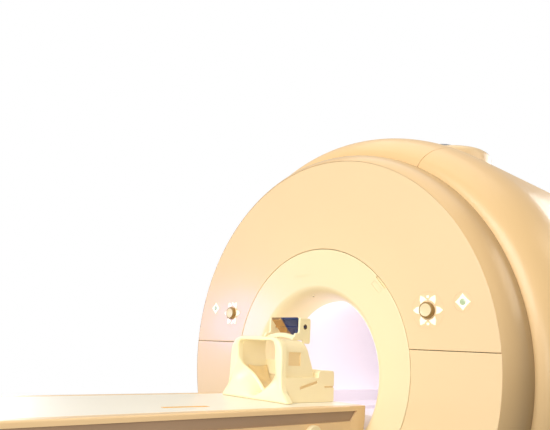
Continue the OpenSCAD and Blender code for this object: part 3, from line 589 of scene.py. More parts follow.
def weave_group(name):
    """Plain weave: crossed threads as a height and a mask."""
    tree, given, end = node_group(
        name,
        [("Vector", "Vector", None), ("Threads", "Float", 900.0)],
        [("Height", "Float"), ("Mask", "Float")],
    )
    place = add(tree, "ShaderNodeSeparateXYZ", Vector=given["Vector"])
    waves = [mathed(tree, "SINE", mathed(tree, "MULTIPLY", place.outputs[way], given["Threads"]))
             for way in "XY"]
    cloth = mathed(tree, "MULTIPLY", *waves)
    height = mathed(tree, "MULTIPLY_ADD", cloth, 0.5, 0.5)
    fill(tree, end, {"Height": height, "Mask": ranged(tree, cloth, -1.0, 1.0)})
    return tree


SHARED = {
    "moulded grain": grain_group,
    "tone drift": drift_group,
    "floor dust": dust_group,
    "brushed streaks": brush_group,
    "plain weave": weave_group,
}


def shared(tree, name, **inputs):
    """A shared group placed in a material; the group is built the first time it is asked for."""
    node = tree.nodes.new("ShaderNodeGroup")
    node.node_tree = bpy.data.node_groups.get(name) or SHARED[name](name)
    return fill(tree, node, inputs)


# Materials


def new_material(name):
    """Material with a Principled shader, its tree and the object's own coordinates."""
    material = bpy.data.materials.new(name + "_finish")
    material.use_nodes = True
    tree = material.node_tree
    place = tree.nodes.new("ShaderNodeTexCoord").outputs["Object"]
    return material, tree, tree.nodes["Principled BSDF"], place


def rgba(colour_or_tone):
    """Colour with full cover, from a colour's name in the panel or from a tone."""
    named = isinstance(colour_or_tone, str)
    return (*(getattr(colours(), colour_or_tone) if named else tone(*colour_or_tone)), 1)


def bump(tree, shader, height, distance):
    """Relief from a height."""
    node = add(tree, "ShaderNodeBump", Strength=1.0, Distance=distance, Height=height)
    feed(tree, shader.inputs["Normal"], node.outputs[0])


def moulded(name, base, gloss=0.34, drift=0.025, grain=700.0, relief=0.00012, lacquer=0.0, dust=0.0, top=0.5,
            glow=None, strength=0.0, smears=0.012, painted_shades=()):
    """Moulded plastic or smooth paint with grain, drifting gloss and dust toward the floor."""
    material, tree, shader, place = new_material(name)
    tint = shared(tree, "tone drift", Vector=place, Color=rgba(base), Scale=3.0, Drift=drift, Gloss=gloss,
                  Gloss_Drift=smears)
    surface = tint.outputs["Color"]
    if dust:
        dusted = shared(tree, "floor dust", Vector=place, Color=surface, Top=top, Amount=dust)
        surface = dusted.outputs["Color"]
    # Painted shade: darkens the colour along each given axis
    for axis, low, high, first, last in painted_shades:
        part = add(tree, "ShaderNodeSeparateXYZ", Vector=place).outputs[axis]
        surface = mixed(tree, ranged(tree, part, low, high, first, last), (0, 0, 0, 1), surface)
    pits = shared(tree, "moulded grain", Vector=place, Scale=grain, Waviness=0.0)
    bump(tree, shader, pits.outputs["Height"], relief)
    fill(tree, shader, {
        "Base Color": surface, "Roughness": tint.outputs["Roughness"],
        "Coat Weight": lacquer, "Coat Roughness": 0.12,
    })
    if glow:
        lit = shared(tree, "tone drift", Vector=place, Color=rgba(glow), Scale=1.5, Drift=0.03)
        fill(tree, shader, {"Emission Color": lit.outputs["Color"], "Emission Strength": strength})
    return material


def metal(name, base, stretch, gloss=0.32, relief=0.00008, metallic=1.0):
    """Brushed or turned metal."""
    material, tree, shader, place = new_material(name)
    tint = shared(tree, "tone drift", Vector=place, Color=rgba(base), Scale=6.0, Drift=0.03)
    streaks = shared(tree, "brushed streaks", Vector=place, Stretch=stretch, Gloss=gloss)
    bump(tree, shader, streaks.outputs["Height"], relief)
    fill(tree, shader, {
        "Base Color": tint.outputs["Color"], "Roughness": streaks.outputs["Roughness"], "Metallic": metallic,
    })
    return material


def woven(name):
    """Woven cover of the pad."""
    material, tree, shader, place = new_material(name)
    tint = shared(tree, "tone drift", Vector=place, Color=rgba("pad"), Scale=20.0, Drift=0.06, Gloss=0.8)
    threads = shared(tree, "plain weave", Vector=place, Threads=3600.0)
    depth = mathed(tree, "MULTIPLY", threads.outputs["Mask"], 0.25)
    bump(tree, shader, threads.outputs["Height"], 0.0004)
    fill(tree, shader, {
        "Base Color": mixed(tree, depth, tint.outputs["Color"], rgba((214, 180, 124))),
        "Roughness": tint.outputs["Roughness"], "Sheen Weight": 0.3,
    })
    return material


def silvered(name):
    """Silvered glass with a blue cast and a tan part toward its left end."""
    material, tree, shader, place = new_material(name)
    tint = shared(tree, "tone drift", Vector=place, Color=rgba("glass"), Scale=18.0, Drift=0.08, Gloss=0.06,
                  Gloss_Drift=0.02)
    # Painted shade: the tan toward the left end stands for the cheek's shaded inner face
    cheek_shade_share = ranged(tree, add(tree, "ShaderNodeSeparateXYZ", Vector=place).outputs["X"], -0.022, -0.012)
    fill(tree, shader, {
        "Base Color": mixed(tree, cheek_shade_share, rgba((206, 164, 112)), tint.outputs["Color"]),
        "Roughness": tint.outputs["Roughness"], "Metallic": 0.75, "Coat Weight": 0.4,
    })
    return material


RIM_FRONT, RIM_BACK = (corner.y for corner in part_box("front_rim"))
# Painted shade, darkening along an axis where the covers turn from the light: the axis, where it starts and
# ends, and the share of the colour there
BAND_REAR_PAINTED_SHADE = ("Y", RIM_FRONT + 0.02, RIM_BACK, 1.0, 0.66)
BAND_LOW_PAINTED_SHADE = ("Z", 0.75, 1.35, 0.63, 1.0)
BARREL_LOW_PAINTED_SHADE = ("Z", 0.6, 1.35, 0.58, 1.0)

# Moulded and painted finishes: a colour of the panel or a tone, then what differs from plain moulded plastic
MOULDED = {
    "cover": ("cover", dict(gloss=0.30, drift=0.006, lacquer=0.15, dust=0.2, top=0.25)),
    # The band's darker colour and its fades are painted shade
    "band": ("band", dict(gloss=0.30, drift=0.005, lacquer=0.25, dust=0.2, top=0.25,
                          painted_shades=(BAND_REAR_PAINTED_SHADE, BAND_LOW_PAINTED_SHADE))),
    "barrel": ("barrel", dict(drift=0.006, lacquer=0.1, dust=0.2, top=0.25, painted_shades=(BARREL_LOW_PAINTED_SHADE,))),
    # Painted shade: dark brown for the round recess in the mirror holder's cheeks
    "gap": ((120, 92, 52), dict(gloss=0.6, drift=0.05)),
    "mouth": ("mouth", dict(gloss=0.30, drift=0.0015, smears=0.002, lacquer=0.1)),
    # Painted light: the bore lining and its bridge glow, though they are no lamps
    "bore": ("bore", dict(gloss=0.45, drift=0.006, glow="glow", strength=0.22)),
    "bridge": ("bore", dict(gloss=0.4, drift=0.01, glow="glow", strength=0.10)),
    "deck": ("deck", dict(gloss=0.38, drift=0.012, lacquer=0.1)),
    "rail": ("rail", dict(drift=0.02, dust=0.1, top=0.8)),
    "groove": ("groove", dict(gloss=0.5, drift=0.05)),
    "coil": ("coil", dict(gloss=0.42, drift=0.02, grain=1100.0, relief=0.0002)),
    # Painted shade: a darker, warmer copy of the coil's colour for the head coil's slots and grip, where
    # shade falls
    "hollow": ((246, 220, 168), dict(gloss=0.5, drift=0.02)),
    "arch": ("arch", dict(drift=0.012)),
    "knob": ("knob", dict(gloss=0.3, drift=0.02)),
    "key": ("key", dict(gloss=0.25, drift=0.01, glow="key", strength=0.35)),
    "lens": ("lens", dict(gloss=0.15, drift=0.03, lacquer=0.6, glow="lens", strength=0.1)),
    "window": ((70, 60, 62), dict(gloss=0.12, drift=0.05, lacquer=1.0)),
    "plinth": ("plinth", dict(gloss=0.5, drift=0.02, grain=500.0, relief=0.0003, dust=0.2, top=0.15)),
    "column": ("column", dict(gloss=0.36, drift=0.01, dust=0.12, top=0.15)),
    "strip": ("strip", dict(gloss=0.4, drift=0.03)),
    "epoxy": ((150, 122, 76), dict(gloss=0.4, drift=0.16, grain=180.0, relief=0.0004, lacquer=0.3)),
    "base_steel": ((118, 120, 122), dict(gloss=0.46, drift=0.06, grain=420.0, relief=0.0004,
                                         dust=0.5, top=0.15)),
    "rubber_belt": ((44, 44, 46), dict(gloss=0.7, drift=0.1, grain=1400.0, relief=0.0004)),
    "dark_steel": ((62, 64, 68), dict(gloss=0.42, drift=0.08, grain=600.0, relief=0.0004)),
}

# Metals: tone, how the streaks are drawn out along X, Y and Z, then what differs from plain brushed metal
METALS = {
    # Painted shade: a darker bronze for the knob's side and foot, where shade falls
    "knob_side_painted_shade": ((160, 126, 70), (300.0, 4.0, 300.0), dict(gloss=0.35, metallic=0.3)),
    "stainless": ((196, 198, 200), (4.0, 260.0, 260.0), dict(gloss=0.3)),
    "windings": ((172, 156, 138), (30.0, 900.0, 30.0), dict(gloss=0.42, relief=0.0004)),
    "copper": ((206, 140, 88), (20.0, 500.0, 20.0), dict(gloss=0.34, metallic=0.85)),
    "frame_alu": ((202, 204, 206), (200.0, 6.0, 200.0), dict(gloss=0.36)),
    "beam": ((190, 192, 194), (220.0, 3.0, 220.0), dict(gloss=0.34)),
    "pulley_alu": ((130, 134, 138), (8.0, 500.0, 500.0), dict(gloss=0.3)),
    "screw": ((178, 176, 170), (300.0, 300.0, 300.0), dict(gloss=0.34)),
}

OTHERS = {"pad": woven, "glass": silvered}


def finish(name):
    """A finish by name, built the first time it is asked for."""
    ready = bpy.data.materials.get(name + "_finish")
    if ready:
        return ready
    if name in OTHERS:
        return OTHERS[name](name)
    *given, settings = MOULDED.get(name) or METALS[name]
    return (moulded if name in MOULDED else metal)(name, *given, **settings)


def paint(node, name):
    """Gives a node that stays as modelled its finish."""
    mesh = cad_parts[node].data
    mesh.materials.clear()
    mesh.materials.append(finish(name))


# Geometry Nodes for what repeats


def growing_tree(name, inputs):
    """Geometry tree with named inputs."""
    tree = bpy.data.node_groups.new(name, "GeometryNodeTree")
    tree.interface.new_socket("Geometry", in_out="INPUT", socket_type="NodeSocketGeometry")
    for label, kind, value in inputs:
        socket = tree.interface.new_socket(label, in_out="INPUT", socket_type="NodeSocket" + kind)
        socket.default_value = value
    tree.interface.new_socket("Geometry", in_out="OUTPUT", socket_type="NodeSocketGeometry")
    return tree, tree.nodes.new("NodeGroupInput").outputs, tree.nodes.new("NodeGroupOutput").inputs[0]


def close_tree(tree, geometry, finish_name, output):
    """Ends a geometry tree in real geometry with a material."""
    real = add(tree, "GeometryNodeRealizeInstances", Geometry=geometry)
    coated = add(tree, "GeometryNodeSetMaterial", Geometry=real.outputs[0], Material=finish(finish_name))
    feed(tree, output, coated.outputs[0])


def grown(name, tree, values, points=((0, 0, 0),), facing=None):
    """Plain mesh that a geometry tree makes from its values and points."""
    mesh = bpy.data.meshes.new(name)
    mesh.from_pydata(points, [], [])
    if facing:
        attribute = mesh.attributes.new("facing", "FLOAT_VECTOR", "POINT")
        attribute.data.foreach_set("vector", [v for way in facing for v in way])
    obj = link(bpy.data.objects.new(name, mesh))
    change = obj.modifiers.new("grown", "NODES")
    change.node_group = tree
    for item in tree.interface.items_tree:
        if item.item_type == "SOCKET" and item.in_out == "INPUT" and item.name in values:
            change[item.identifier] = values[item.name]
    return flatten(obj)


def screw_tree(name):
    """Socket-head screws on points, each turned the way its point faces."""
    tree, given, output = growing_tree(
        name, [("Radius", "Float", 0.006), ("Height", "Float", 0.003), ("Socket", "Float", 0.5)]
    )
    head = add(tree, "GeometryNodeMeshCylinder", Vertices=20, Radius=given["Radius"], Depth=given["Height"])
    hex_radius = mathed(tree, "MULTIPLY", given["Radius"], given["Socket"])
    socket = add(tree, "GeometryNodeMeshCylinder", Vertices=6, Radius=hex_radius, Depth=given["Height"])
    lift = add(tree, "ShaderNodeCombineXYZ", Z=mathed(tree, "MULTIPLY", given["Height"], 0.4))
    raised = add(tree, "GeometryNodeTransform", Geometry=socket.outputs[0], Translation=lift.outputs[0])
    hollow = tree.nodes.new("GeometryNodeMeshBoolean")
    hollow.operation = "DIFFERENCE"
    fill(tree, hollow, {"Mesh 1": head.outputs[0], "Mesh 2": raised.outputs[0]})
    facing = add(tree, "GeometryNodeInputNamedAttribute", Name="facing")
    facing.data_type = "FLOAT_VECTOR"
    turn = add(tree, "FunctionNodeAlignRotationToVector", Vector=facing.outputs[0])
    turn.axis = "Z"
    heads = add(tree, "GeometryNodeInstanceOnPoints", Points=given["Geometry"], Instance=hollow.outputs[0],
                Rotation=turn.outputs[0])
    close_tree(tree, heads.outputs[0], "screw", output)
    return tree


def slat_tree(name, finish_name):
    """A row of tilted slats."""
    tree, given, output = growing_tree(
        name,
        [
            ("Count", "Int", 10),
            ("Start", "Vector", (0, 0, 0)),
            ("Step", "Vector", (0, 0, 0.016)),
            ("Size", "Vector", (0.5, 0.016, 0.003)),
            ("Tilt", "Vector", (0.6, 0, 0)),
        ],
    )
    line = add(tree, "GeometryNodeMeshLine", Count=given["Count"], Offset=given["Step"],
               Start_Location=given["Start"])
    slat = add(tree, "GeometryNodeMeshCube", Size=given["Size"])
    tilted = add(tree, "GeometryNodeTransform", Geometry=slat.outputs[0], Rotation=given["Tilt"])
    row = add(tree, "GeometryNodeInstanceOnPoints", Points=line.outputs[0], Instance=tilted.outputs[0])
    close_tree(tree, row.outputs[0], finish_name, output)
    return tree


def screws(name, points, facing, radius, height):
    """A group of screws on the gantry that all face one way."""
    kind = "socket screws"
    tree = bpy.data.node_groups.get(kind) or screw_tree(kind)
    obj = grown(name, tree, {"Radius": radius, "Height": height}, points, [facing] * len(points))
    obj.data.shade_smooth()
    obj.data.set_sharp_from_angle(angle=math.radians(40))
    return dress(obj, "gantry", "stainless")


# Mouth rings and bore


def ring_centre(p):
    """Height of a mouth ring's section: the bore's at the flare, the ring's own at its rim."""
    reach = p.ring - 0.020 - p.flare

    def height(radius):
        """Height of the line for a radius."""
        share = min(max((radius - p.flare) / reach, 0.0), 1.0)
        return p.iso_z + (p.ring_z - p.iso_z) * share

    return height


def flare_curve(inner, width, depth, start, way, steps=20):
    """Quarter of an ellipse from the bore out to the mouth."""
    turn = [math.radians(90 - 90 * i / steps) for i in range(steps + 1)]
    return [(inner + width * (1 - math.sin(t)), start + way * depth * (1 - math.cos(t))) for t in turn]


def mouth_section(p, way):
    """Closed section of a mouth ring; way is 1 where the bore runs toward higher Y, as at the front."""
    s = sizes()
    face = p.front if way > 0 else p.rear
    wall, deep, turn = s.ring_wall, s.flare_depth, s.seam_round * 1.4
    outer = flare_curve(p.bore, s.flare_width, deep, face, way)
    collar = [(p.flare + (p.ring - turn - p.flare) * i / 6, face) for i in range(1, 6)]
    corner = [(p.ring - turn + turn * math.sin(a), face + way * turn * (1 - math.cos(a)))
              for a in (math.radians(v) for v in (0, 22.5, 45, 67.5, 90))]
    flange = [
        (p.ring, face + way * p.ring_back), (p.ring + p.ring_flange, face + way * p.ring_back),
        (p.ring + p.ring_flange, face + way * (p.ring_back + 0.005)),
        (p.ring - 0.006, face + way * (p.ring_back + 0.005)), (p.ring - 0.006, face + way * wall),
    ]
    inner = flare_curve(p.bore + wall, s.flare_width - wall, deep - wall, face + way * wall, way)
    return outer + collar + corner + flange + inner[::-1]


# Heights of the two trim lines over the ring's middle
TRIM_LINES = (0.3665, 0.3715)
# Aiming light: its place on the flare's curve, and how far it sits from the middle
LIGHT_TURN, LIGHT_SIDE = math.radians(43), -0.047


def build_mouth_rings():
    """Front ring with its flap, finger gap and aiming light, and the plain rear ring."""
    p = plan()
    front = revolve("mouth_ring_front", mouth_section(p, 1), ring_centre(p), steps=240)
    flap_in, flap_out, flap_half, flap_turn, ease = p.ring - 0.041, p.ring - 0.019, 0.027, -43, 0.0008

    def flap_outline(inset, corner):
        """Outline of the flap, drawn in by an inset."""
        low, high = p.ring_z - flap_half + inset, p.ring_z + flap_half - inset
        return [rounded(box_outline(flap_in + inset, low, flap_out - inset, high), corner)]

    pocket = slab("pocket", flap_outline(0.0, 0.003), "Y", p.front - 0.002, p.front + 0.0018, edge=0.0)
    gap = block("gap", (p.ring - 0.009, p.front - 0.001, p.ring_z - 0.034),
                (p.ring - 0.002, p.front + 0.0075, p.ring_z + 0.030))
    for tool in (pocket, gap):
        turned_about(tool, "Y", flap_turn, p.ring_z)
    left, right, groove = -0.123, -0.030, 0.0012
    trims = [block("trim", (left, p.front - 0.001, z), (right, p.front + groove, z + groove))
             for z in (p.ring_z + line for line in TRIM_LINES)]
    cut(front, pocket, gap, *trims)
    dress(smooth(front, 38), "gantry", "mouth", "mouth", nodes=["front_ring"])

    plate = slab("ring_flap", flap_outline(ease, 0.0025), "Y", p.front + 0.0001, p.front + 0.0017,
                 edge=0.0004)
    turned_about(plate, "Y", flap_turn, p.ring_z)
    dress(smooth(plate), "gantry", "mouth", "mouth")
    dress(smooth(aiming_light(p)), "gantry", "dark_steel")

    rear = revolve("mouth_ring_rear", mouth_section(p, -1), ring_centre(p), steps=240)
    dress(smooth(rear, 38), "gantry", "mouth", "mouth", nodes=["rear_ring"])


def aiming_light(p):
    """Dark round window in a thin rim, set square to the flare, left of its top."""
    s = sizes()
    radius = p.bore + s.flare_width * (1 - math.sin(LIGHT_TURN))
    place = Vector((LIGHT_SIDE, p.front + s.flare_depth * (1 - math.cos(LIGHT_TURN)),
                    p.iso_z + math.sqrt(radius ** 2 - LIGHT_SIDE ** 2)))
    window = 0.0037
    rim = [(0.0, 0.0010), (0.0034, 0.0010), (0.0038, 0.0022), (0.0050, 0.0022), (0.0056, 0.0012),
           (0.0056, -0.002), (0.0, -0.002)]
    steps = 24
    turns = [math.tau * i / steps for i in range(steps)]
    verts = [(r * math.cos(turn), r * math.sin(turn), h) for turn in turns for r, h in rim]
    light = piece("aiming_light", verts, row_faces(steps, len(rim), wrapped=False))
    run_in, run_out = s.flare_depth * math.sin(LIGHT_TURN), s.flare_width * math.cos(LIGHT_TURN)
    slope = math.hypot(run_in, run_out)
    out = Vector((place.x, 0, place.z - p.iso_z)).normalized()
    outward = Vector((-out.x * run_in / slope, -run_out / slope, -out.z * run_in / slope))
    light.data.transform(Matrix.Translation(place) @ outward.to_track_quat("Z", "Y").to_matrix().to_4x4())
    coat(light, "window", "mouth")
    return tint_faces(light, lambda c: (c - place).length > window)


def build_bore():
    """Glowing bore tube and the bridge that carries the tabletop through it."""
    p = plan()
    wall = p.bore + sizes().bore_wall
    rows = 24
    ends = [-p.mouth + 2 * p.mouth * i / rows for i in range(rows + 1)]
    section = [(p.bore, y) for y in ends] + [(wall, y) for y in reversed(ends)]
    tube = revolve("bore_tube", section, p.iso_z, steps=192)
    dress(smooth(tube, 38), "gantry", "bore", "bore", nodes=["bore_liner"])
    skin("bore_bridge_rails", "bore_bridge", "gantry", "bridge", "bridge", 0.0035)


# Disc and barrel covers


def crossing(radius, centre_z, z):
    """Angle in degrees at which a circle about a height crosses another height, on the right-hand side."""
    return math.degrees(math.asin((z - centre_z) / radius))


def panel_outline(p, upper):
    """Outline of a face panel: outer arc, seam, arc round the mouth ring, seam."""
    s = sizes()
    outer = p.face - 0.0008
    inner = p.ring + s.seam
    z = p.seam_z + (s.seam / 2 if upper else -s.seam / 2)
    a, b = crossing(outer, p.cover_z, z), crossing(inner, p.ring_z, z)
    if upper:
        return arc(0, p.cover_z, outer, a, 180 - a, 180) + arc(0, p.ring_z, inner, 180 - b, b, 120)
    return arc(0, p.cover_z, outer, a, -180 - a, 180) + arc(0, p.ring_z, inner, -180 - b, b, 120)


def collar(p, name, way, span=(0.0, 360.0), steps=180):
    """Thin ring that stiffens a cover round the mouth ring; way is 1 at the front and -1 at the rear."""
    face = p.front if way > 0 else p.rear
    inner, wall = p.ring + sizes().seam, 0.006
    near, far = face + way * 0.004, face + way * (p.ring_back - 0.001)
    section = [(inner, near), (inner + wall, near), (inner + wall, far), (inner, far)]
    return revolve(name + "_collar", section, p.ring_z, span, steps)


def panel(p, name, upper):
    """Face panel with its collar and, in the upper one, the holes for the key carriers."""
    s = sizes()
    plate = slab(name, [panel_outline(p, upper)], "Y", p.front, p.front + s.panel_wall, edge=s.seam_round)
    if upper:
        kinds = ((p.knob, KNOB_CARRIER), (p.stop, STOP_CARRIER))
        holes = [(spot, radius + CARRIER_SEAM) for spots, radius in kinds for spot in spots.values()]
        cut(plate, *(bar("drill", (c.x, p.front - 0.01, c.z), (c.x, p.front + 0.03, c.z), r, 72)
                     for c, r in holes))
    edge, short = crossing(p.ring + s.seam, p.ring_z, p.seam_z), 0.3
    span = (edge + short, 180 - edge - short) if upper else (-180 - edge + short, edge - short)
    return joined(name, plate, collar(p, name, 1, span, 120))


def build_face():
    """Upper and lower face panel."""
    p = plan()
    for name, upper, node in (("face_upper", True, "front_upper"), ("face_lower", False, "front_lower")):
        dress(smooth(panel(p, name, upper), 30), "gantry", "cover", "cover", nodes=[node])


def band_section(p, way):
    """Closed section of a side band from the flat face to the widest point of the disc."""
    s = sizes()
    bulge = (p.disc - p.face) / (1 - math.sin(p.band_start))
    sweep = p.band / math.cos(p.band_start)
    wall, lip = s.cover_wall, s.seam_round
    face = p.front if way > 0 else p.rear
    back = face + way * p.band
    turns = [p.band_start + (math.pi / 2 - p.band_start) * i / 28 for i in range(29)]

    def curve(inset, angles):
        """Part of the curved section, drawn in by an inset."""
        return [(p.disc - bulge + (bulge - inset) * math.sin(t), back - way * (sweep - inset) * math.cos(t))
                for t in angles]

    edge = [(p.disc, back - way * lip), (p.disc - lip * 0.3, back - way * lip * 0.3), (p.disc - lip, back)]
    rim, inside, foot = p.disc - 0.028, back - way * wall, p.face - 0.020
    hold = [(rim, back), (rim, inside), (p.disc - wall - 0.001, inside)]
    seat = [(foot, face + way * 0.014), (foot, face + way * 0.008), (p.face, face + way * 0.008)]
    return curve(0.0, turns[:-1]) + edge + hold + curve(wall, turns[3:-1])[::-1] + seat


# Window of the air outlet in the rear cover
OUTLET_HALF, OUTLET_LOW, OUTLET_HIGH, LOUVRES = 0.262, 0.244, 0.416, 12
REAR_SCREWS = 12


def build_bands():
    """Side band of the disc, and the rear cover with its air outlet, louvres and screws."""
    p = plan()
    s = sizes()
    band = revolve("side_band", band_section(p, 1), p.cover_z, steps=240)
    dress(smooth(band, 30), "gantry", "cover", "band", nodes=["front_rim"])

    outlines = [
        arc(0, p.cover_z, p.face - 0.0004, 0, 358, 179),
        arc(0, p.ring_z, p.ring + s.seam, 0, 357, 119),
        rounded(box_outline(-OUTLET_HALF, OUTLET_LOW, OUTLET_HALF, OUTLET_HIGH), 0.008),
    ]
    rim = revolve("rear_rim", band_section(p, -1), p.cover_z, steps=240)
    plate = slab("rear_plate", outlines, "Y", p.rear - s.panel_wall, p.rear - 0.0012, edge=s.seam_round)
    rear = joined("rear_cover_shell", rim, plate, collar(p, "rear", -1))
    dress(smooth(rear, 30), "gantry", "cover", "cover", nodes=["rear_cover"])
    louvres = grown("rear_louvres", slat_tree("slats of cover", "cover"), {
        "Count": LOUVRES, "Start": (0, p.rear - 0.009, OUTLET_LOW + 0.006),
        "Step": (0, 0, (OUTLET_HIGH - OUTLET_LOW) / LOUVRES),
        "Size": (2 * OUTLET_HALF - 0.002, 0.013, 0.0026), "Tilt": (math.radians(-24), 0, 0),
    })
    dress(louvres, "gantry", "cover")
    turns = [math.radians(15 + 360 / REAR_SCREWS * i) for i in range(REAR_SCREWS)]
    reach = p.face - 0.035
    heads = [(reach * math.cos(t), p.rear - 0.0009, p.cover_z + reach * math.sin(t)) for t in turns]
    screws("rear_screws", heads, (0, 1, 0), s.screw_radius, 0.0012)


def barrel_section(p):
    """Closed section of the barrel covers: shoulder, straight, shoulder, and the same inside."""
    s = sizes()

    def outline(inset):
        """Curved part of the section, drawn in by an inset."""
        low, far = p.barrel_low, p.barrel - inset
        lead, end = -p.barrel_y + inset, s.shoulder - inset
        turns = [math.radians(90 * i / 24) for i in range(25)]
        first = [(low + (far - low) * math.sin(t), lead + end * (1 - math.cos(t))) for t in turns]
        straight = [(far, (lead + end) * (1 - i / 3)) for i in range(1, 6)]
        return first + straight + [(r, -y) for r, y in reversed(first)]

    front, back = -p.barrel_y, p.barrel_y
    foot = p.barrel_low - 0.022
    outer = [(foot, front)] + outline(0.0) + [(foot, back), (foot, back - s.cover_wall)]
    return outer + outline(s.cover_wall)[::-1] + [(foot, front + s.cover_wall)]


def build_barrel():
    """Left, right and top cover of the barrel."""
    p = plan()
    s = sizes()
    gap = math.degrees(s.seam / 2 / p.barrel)
    half_top, neck_y, neck_radius, inset = 30, 0.250, 0.205, 0.012
    low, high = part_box("plinth")
    spans = {
        "barrel_right": (-90 + gap * 0.5, 90 - half_top - gap),
        "barrel_left": (90 + half_top + gap, 270 - gap * 0.5),
        "barrel_top": (90 - half_top + gap, 90 + half_top - gap),
    }
    for node, span in spans.items():
        shell = revolve(node + "_cover", barrel_section(p), p.cover_z, span, int((span[1] - span[0]) * 0.8))
        if node == "barrel_top":
            cut(shell, bar("neck", (0, neck_y, p.cover_z), (0, neck_y, p.cover_z + 2), neck_radius, 96))
        else:
            corners = (low.x + inset, low.y + inset, -0.2), (high.x - inset, high.y - inset, 0.7)
            cut(shell, block("foot", *corners))
        soften(shell, s.seam_round, 3, 55)
        dress(smooth(shell, 32), "gantry", "cover", "barrel", nodes=[node])


def build_base_covers():
    """Plinth, turret, its hood and the steel under the magnet."""
    skin("plinth_skirt", "plinth", "gantry", "plinth", "plinth")
    skin("turret_cap", "turret_hood", "gantry", "cover", "cover", 0.003)
    skin("turret_neck", "turret", "gantry", "stainless", "stainless", 0.0015, 2)
    skin("magnet_feet", "magnet_base", "gantry", "base_steel", "base_steel", 0.002, 2)


# Controls

# Knob and its pale cap, petals, carriers, the keys' rise, depth and play, and the stop key's outline
KNOB_RADIUS, KNOB_RISE, KNOB_FACE = 0.029, 0.017, 0.0228
PETALS, PETAL_TIP, PETAL_HALF = 6, 0.0595, 24.0
KNOB_CARRIER, STOP_CARRIER, CARRIER_SEAM = 0.064, 0.034, 0.0003
KEY_RISE, KEY_DEPTH, KEY_PLAY = 0.0018, 0.0140, 0.0004
STAR_REACH, STAR_POWER = 0.029, 0.9


def petal_outline(grow=0.0):
    """Outline of a petal key that points along the first axis."""
    near = [(KNOB_RADIUS + 0.006 - grow, math.radians(-PETAL_HALF + PETAL_HALF / 3 * i)) for i in range(7)]
    root = [(r * math.cos(a * (1 + grow / 0.014)), r * math.sin(a * (1 + grow / 0.014))) for r, a in near]
    shoulder, neck = (KNOB_RADIUS + 0.018, 0.0104 + grow), (PETAL_TIP - 0.003, 0.0032 + grow)
    tip = (PETAL_TIP - 0.0006 + grow, 0.0014)
    return root + [shoulder, neck, tip] + [(u, -v) for u, v in (tip, neck, shoulder)]


def star_outline(grow=0.0):
    """Outline of the four-pointed stop key."""
    reach, points = STAR_REACH + 1.45 * grow, []
    for i in range(64):
        across, up = math.cos(math.tau * i / 64), math.sin(math.tau * i / 64)
        radius = reach / (abs(across) ** STAR_POWER + abs(up) ** STAR_POWER) ** (1 / STAR_POWER)
        points.append((radius * across, radius * up))
    return points


def moved(points, degrees, spot):
    """Outline turned and moved to a spot on the face."""
    c, s = math.cos(math.radians(degrees)), math.sin(math.radians(degrees))
    return [(spot.x + c * u - s * v, spot.z + s * u + c * v) for u, v in points]


def knob_section(front):
    """Section of a turning knob: dished cap, rounded rim and a dark gap at its foot."""
    r, face, turn, hub = KNOB_RADIUS, front - KNOB_RISE, 0.004, 0.008
    rim = [(r - 0.005 + turn * math.sin(math.radians(t)), face + turn - turn * math.cos(math.radians(t)))
           for t in range(0, 91, 10)]
    cap = [(0.0, face + 0.0030), (r * 0.35, face + 0.0024), (r - 0.0085, face + 0.0012), (r - 0.0065, face)]
    foot = [(r, front - 0.0035), (r - 0.0008, front - 0.0022), (r - 0.0008, front - 0.0003),
            (hub, front - 0.0003), (hub, front + 0.0138), (0.0, front + 0.0138)]
    return cap + rim + foot


def turn_knob(name, spot, front):
    """Knob with a pale face, a darker side and a pointer notch."""
    knob = revolve(name, knob_section(front), 0.0, steps=96)
    knob.data.transform(Matrix.Translation((spot.x, 0, spot.z)))
    # Painted shade: the knob's side and foot get a darker finish than its face
    coat(knob, "knob", "knob_side_painted_shade")
    tint_faces(knob, lambda c: math.hypot(c.x - spot.x, c.z - spot.z) > KNOB_FACE)
    notch = block("notch", (spot.x - 0.0012, front - 0.020, spot.z + 0.009),
                  (spot.x + 0.0012, front - 0.0148, spot.z + 0.017))
    return cut(knob, notch)


def carrier_plate(p, side, name):
    """Carrier of the keys with their shaped holes, flush with the panel."""
    knob, stop = p.knob[side], p.stop[side]
    big = [arc(knob.x, knob.z, KNOB_CARRIER, 0, 356, 89)]
    big += [moved(petal_outline(KEY_PLAY), 60 * i, knob) for i in range(PETALS)]
    big += [arc(knob.x, knob.z, 0.00805, 0, 350, 35)]
    small = [arc(stop.x, stop.z, STOP_CARRIER, 0, 354, 59), moved(star_outline(KEY_PLAY), 0, stop)]
    return joined(name, *(slab(name + word, outlines, "Y", p.front, p.front + 0.009, edge=0.0003, rounds=1)
                          for word, outlines in (("_star", big), ("_stop", small))))


